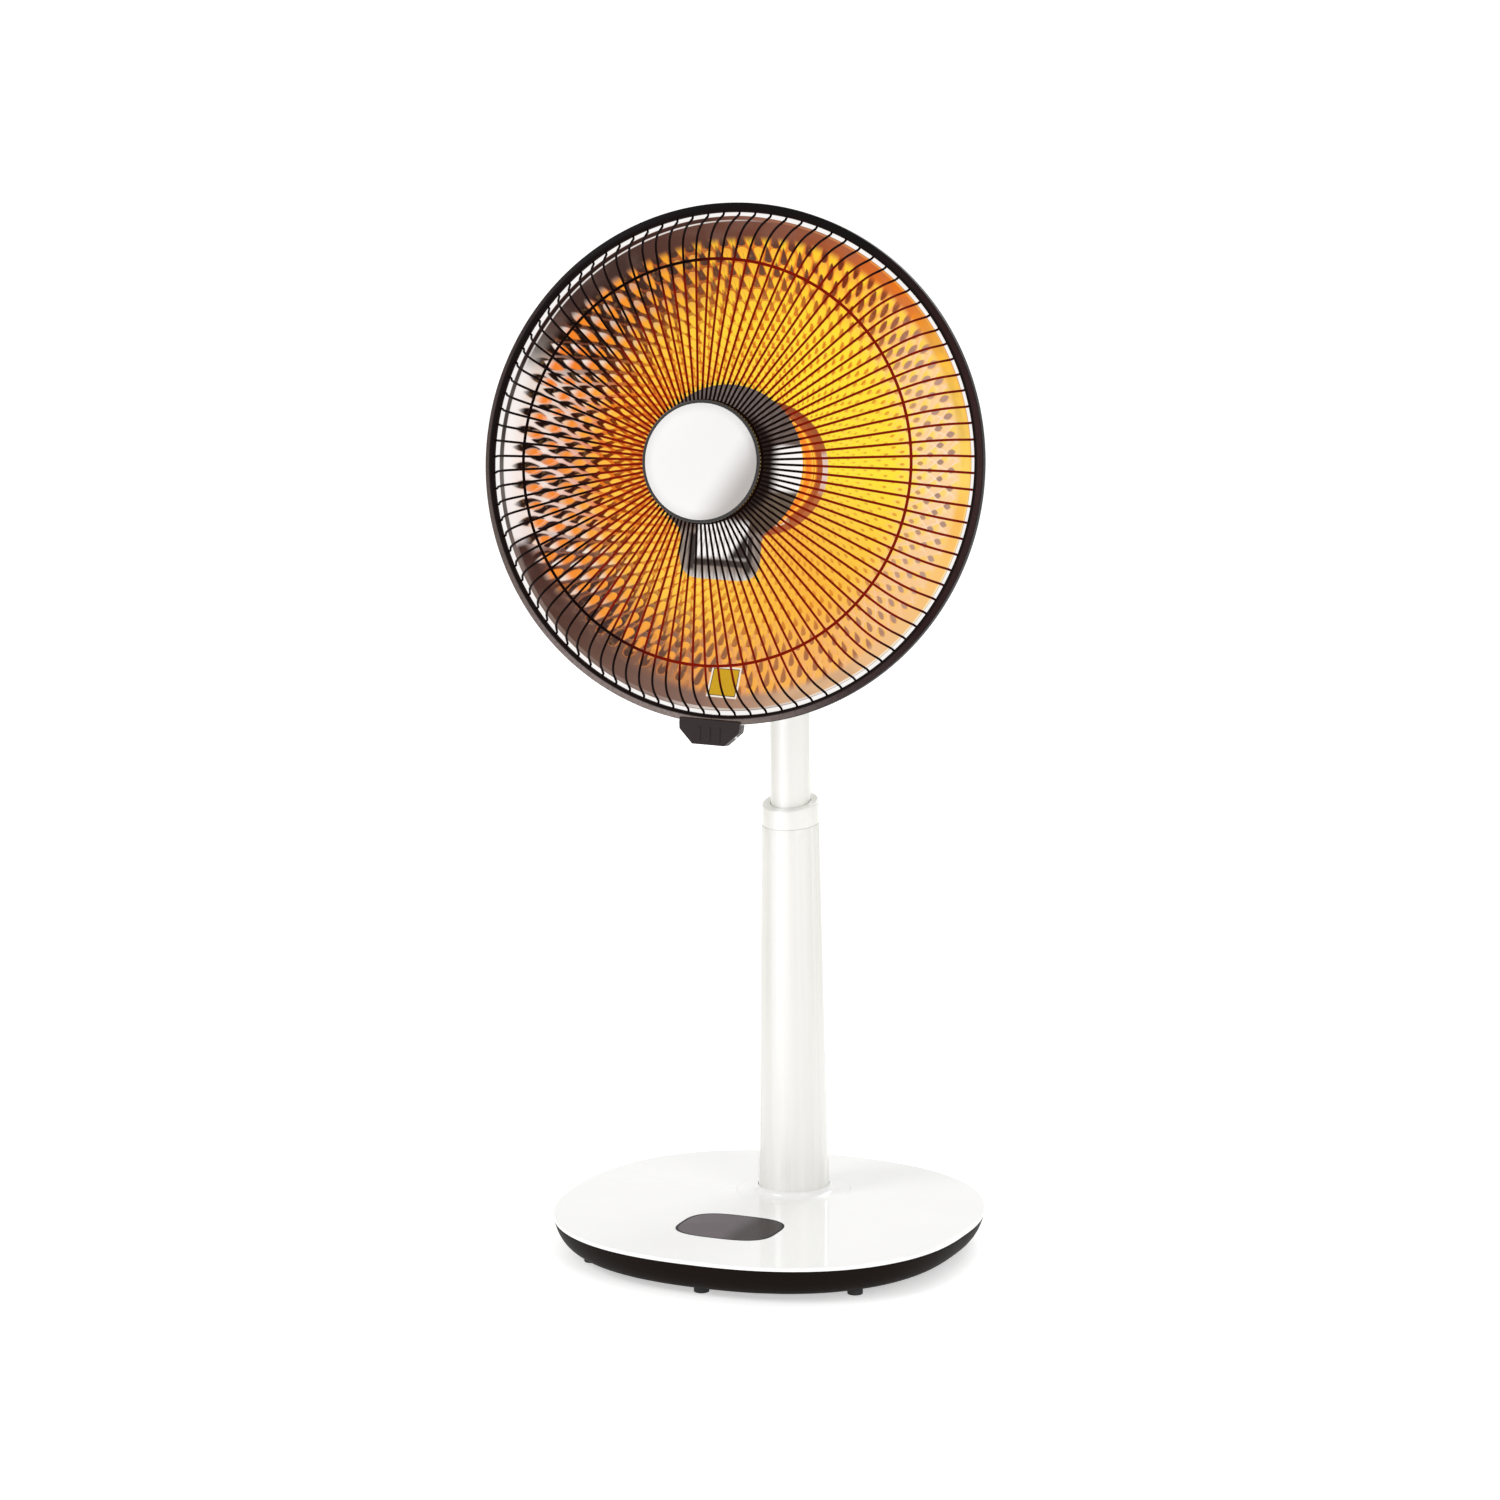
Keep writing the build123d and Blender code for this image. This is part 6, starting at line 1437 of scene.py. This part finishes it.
class HEATER_OT_guard(Builder, Operator):
    """Domed guard of bent wires with its rings, its carrier and its badge."""
    bl_idname = "heater.guard"
    bl_label = "Guard"

    def build(self, settings):
        sizes = settings.guard
        finish = wire_finish(settings.colours)
        points, faces = sweep(bent(WIRE_PATH, WIRE_BENDS), sizes.wire_radius * PER_METRE, 8)
        mesh = bpy.data.meshes.new("one_wire")
        mesh.from_pydata([tuple(c * MM for c in point) for point in points], [], faces)

        def circled(nodes, geometry, fields):
            line = nodes.add("GeometryNodeMeshLine", None,
                             {"Count": fields["Wires"], "Offset": (0, 0, 0)})
            index = nodes.add("GeometryNodeInputIndex")
            turn = (index + fields["Phase"]) * TURN / fields["Wires"]
            spin = nodes.add("ShaderNodeCombineXYZ", None, {2: turn})
            return nodes.add("GeometryNodeInstanceOnPoints", None,
                             {"Points": line, "Instance": geometry, "Rotation": spin})

        wires = generated("guard_spokes", finish, {"Wires": sizes.wires, "Phase": sizes.phase},
                          circled, mesh)
        mount(wires, "head", "black_wire", "guard_wires")
        outline = circle(sizes.mid_radius * PER_METRE, RING_LEVEL, RING_THICK, 10)
        middle = turned("guard_ring", outline, 240, finish)
        mount(middle, "head", "black_wire", "guard_mid_ring")
        dress(finish, "guard_outer_ring")
        plate = softened("guard_centre_plate", "guard_clamp", finish, 0.3)
        mount(plate, "head", "black_wire", "guard_centre_plate")
        carrier = turned("badge_ring", rounded(CARRIER, CARRIER_BENDS), 180,
                         black_gloss(settings.colours))
        mount(carrier, "head", "black_gloss", "badge_carrier")
        edge = sizes.badge_radius * PER_METRE
        dome = [(0, BADGE_REAR), (edge - 0.3, BADGE_REAR), (edge, BADGE_REAR + 0.5),
                (edge, BADGE_EDGE - 0.5)]
        for step in range(BADGE_STEPS + 1):
            share = 1 - step / BADGE_STEPS
            dome.append(((edge - 0.4) * share, BADGE_EDGE + BADGE_RISE * (1 - share ** 2)))
        badge = turned("badge_dome", dome, 180, badge_finish(settings.colours))
        mount(badge, "head", "badge_silver", "centre_badge")
        return [wires, middle, plate, carrier, badge]


class HEATER_OT_hoop(Builder, Operator):
    """Rim hoop, split at its foot, and the hinged clip that holds it shut."""
    bl_idname = "heater.hoop"
    bl_label = "Hoop"

    def build(self, settings):
        finish = hoop_finish(settings.colours)
        edge = settings.guard.hoop_radius * PER_METRE
        gap = HOOP_SPLIT / edge
        outline = rounded([(edge + inset, level) for inset, level in HOOP_SECTION], HOOP_BENDS, 6)
        ring = turned("ring", outline, 300, finish, start=-TURN / 4 + gap, sweep=TURN - 2 * gap)
        side = rounded(EAR_SECTION, 1.0, 3)
        ears = []
        for low in EAR_PLACES:
            rings = [[(across, -radius, level) for radius, level in side]
                     for across in (low, low + EAR_WIDTH)]
            ears.append(stacked("ear", rings, finish))
        hoop = mount(joined("rim_band", [ring] + ears), "head", "black_gloss", "rim_hoop")
        clip = softened("guard_latch", "clip_block", clip_plastic(settings.colours), 0.7, 30, 3)
        mount(clip, "latch", "black_plastic", "guard_latch")
        screw = softened("latch_screw", "clip_screw", plain("turned_steel"), 0.3)
        mount(screw, "latch", "steel", "latch_screw")
        dress(plain("turned_steel"), "latch_hinge_pin")
        return [hoop, clip, screw]


class HEATER_OT_housing(Builder, Operator):
    """Rear of the head: vented cover, bracket, yoke and neck."""
    bl_idname = "heater.housing"
    bl_label = "Housing"

    def build(self, settings):
        white = white_plastic(settings.colours)
        made = []
        for node, name, body in (
                ("rear_cover", "rear_shell", "head"), ("head_bracket", "bracket", "head"),
                ("swivel_yoke", "yoke", "yoke"), ("neck_housing", "neck_shell", "tube"),
                ("neck_cap", "neck_lid", "tube")):
            made.append(mount(softened(node, name, white, 0.5, 40), body, "white_gloss", node))
        dress(plain("turned_steel"), "bracket_screws", "tilt_pin", "swing_shaft", "motor_screws",
              "reflector_screws")
        dress(plain("dull_metal"), "swing_motor")
        dress(plain("white_ceramic"), "terminal_block")
        return made


class HEATER_OT_column(Builder, Operator):
    """Tapered column with its collar, tube, button and foot cover."""
    bl_idname = "heater.column"
    bl_label = "Column"

    def build(self, settings):
        white = white_plastic(settings.colours)
        pole = column_finish(settings.colours)
        made = []
        for node, name, body, slot, finish, width in (
                ("column", "column_shell", "base", "white_column", pole, 0.3),
                ("column_collar", "column_collar_shell", "base", "white_gloss", pole, 0.3),
                ("foot_cover", "foot_cover_shell", "base", "white_gloss", top_finish(), 0.4),
                ("inner_tube", "tube_shell", "tube", "white_tube", pole, 0.3),
                ("height_lock_button", "button_cap", "lock_button", "white_gloss", white, 0.4)):
            made.append(mount(softened(node, name, finish, width, 40), body, slot, node))
        dress(plain("black_matt"), "tube_stop_ring")
        dress(plain("natural_plastic"), "guide_bush")
        dress(plain("turned_steel"), "column_screws")
        return made


class HEATER_OT_base(Builder, Operator):
    """Pan, top cover, window, feet and what the base holds."""
    bl_idname = "heater.base"
    bl_label = "Base"

    def build(self, settings):
        matt = plain("black_matt")
        made = []
        for node, name, slot, finish, width in (
                ("base_top_cover", "top_plate", "white_gloss", top_finish(), 0.3),
                ("base_pan", "pan", "black_plastic", matt, 0.3),
                ("rubber_feet", "feet", "black_rubber", plain("foot_rubber"), 0.4),
                ("display_window", "window", "smoked_window", window_finish(settings.colours),
                 0.3)):
            made.append(mount(softened(node, name, finish, width, 40), "base", slot, node))
        dress(matt, "tip_switch_body", "display_module", "cord_grommet")
        dress(plain("natural_plastic"), "tip_switch_plunger")
        dress(plain("dull_metal"), "ballast_plates")
        dress(plain("board_green"), "control_board")
        dress(plain("turned_steel"), "cover_screws")
        return made


class HEATER_PT_panel(Panel):
    """Lists the heater's operators and settings."""
    bl_idname = "HEATER_PT_panel"
    bl_label = "Parabolic heater"
    bl_space_type = "VIEW_3D"
    bl_region_type = "UI"
    bl_category = "Heater"

    def draw(self, context):
        settings = context.scene.heater
        for operator in OPERATORS:
            self.layout.operator(operator.bl_idname)
        for group in (settings.dish, settings.guard, settings.lamp, settings.colours):
            box = self.layout.box()
            box.label(text=type(group).__name__)
            for key in type(group).__annotations__:
                box.prop(group, key)
        self.layout.prop(settings, "show_plate")


GROUPS = (DishSizes, GuardSizes, LampSizes, Colours, HeaterSettings)
OPERATORS = (HEATER_OT_stage, HEATER_OT_base, HEATER_OT_column, HEATER_OT_housing,
             HEATER_OT_reflector, HEATER_OT_lamp, HEATER_OT_shield, HEATER_OT_guard, HEATER_OT_hoop)


def register():
    for group in GROUPS + OPERATORS + (HEATER_PT_panel,):
        bpy.utils.register_class(group)
    bpy.types.Scene.heater = PointerProperty(type=HeaterSettings)


def unregister():
    del bpy.types.Scene.heater
    for group in reversed(GROUPS + OPERATORS + (HEATER_PT_panel,)):
        bpy.utils.unregister_class(group)


def main():
    register()
    for operator in OPERATORS:
        group, name = operator.bl_idname.split(".")
        getattr(getattr(bpy.ops, group), name)()


if __name__ == "__main__":
    main()
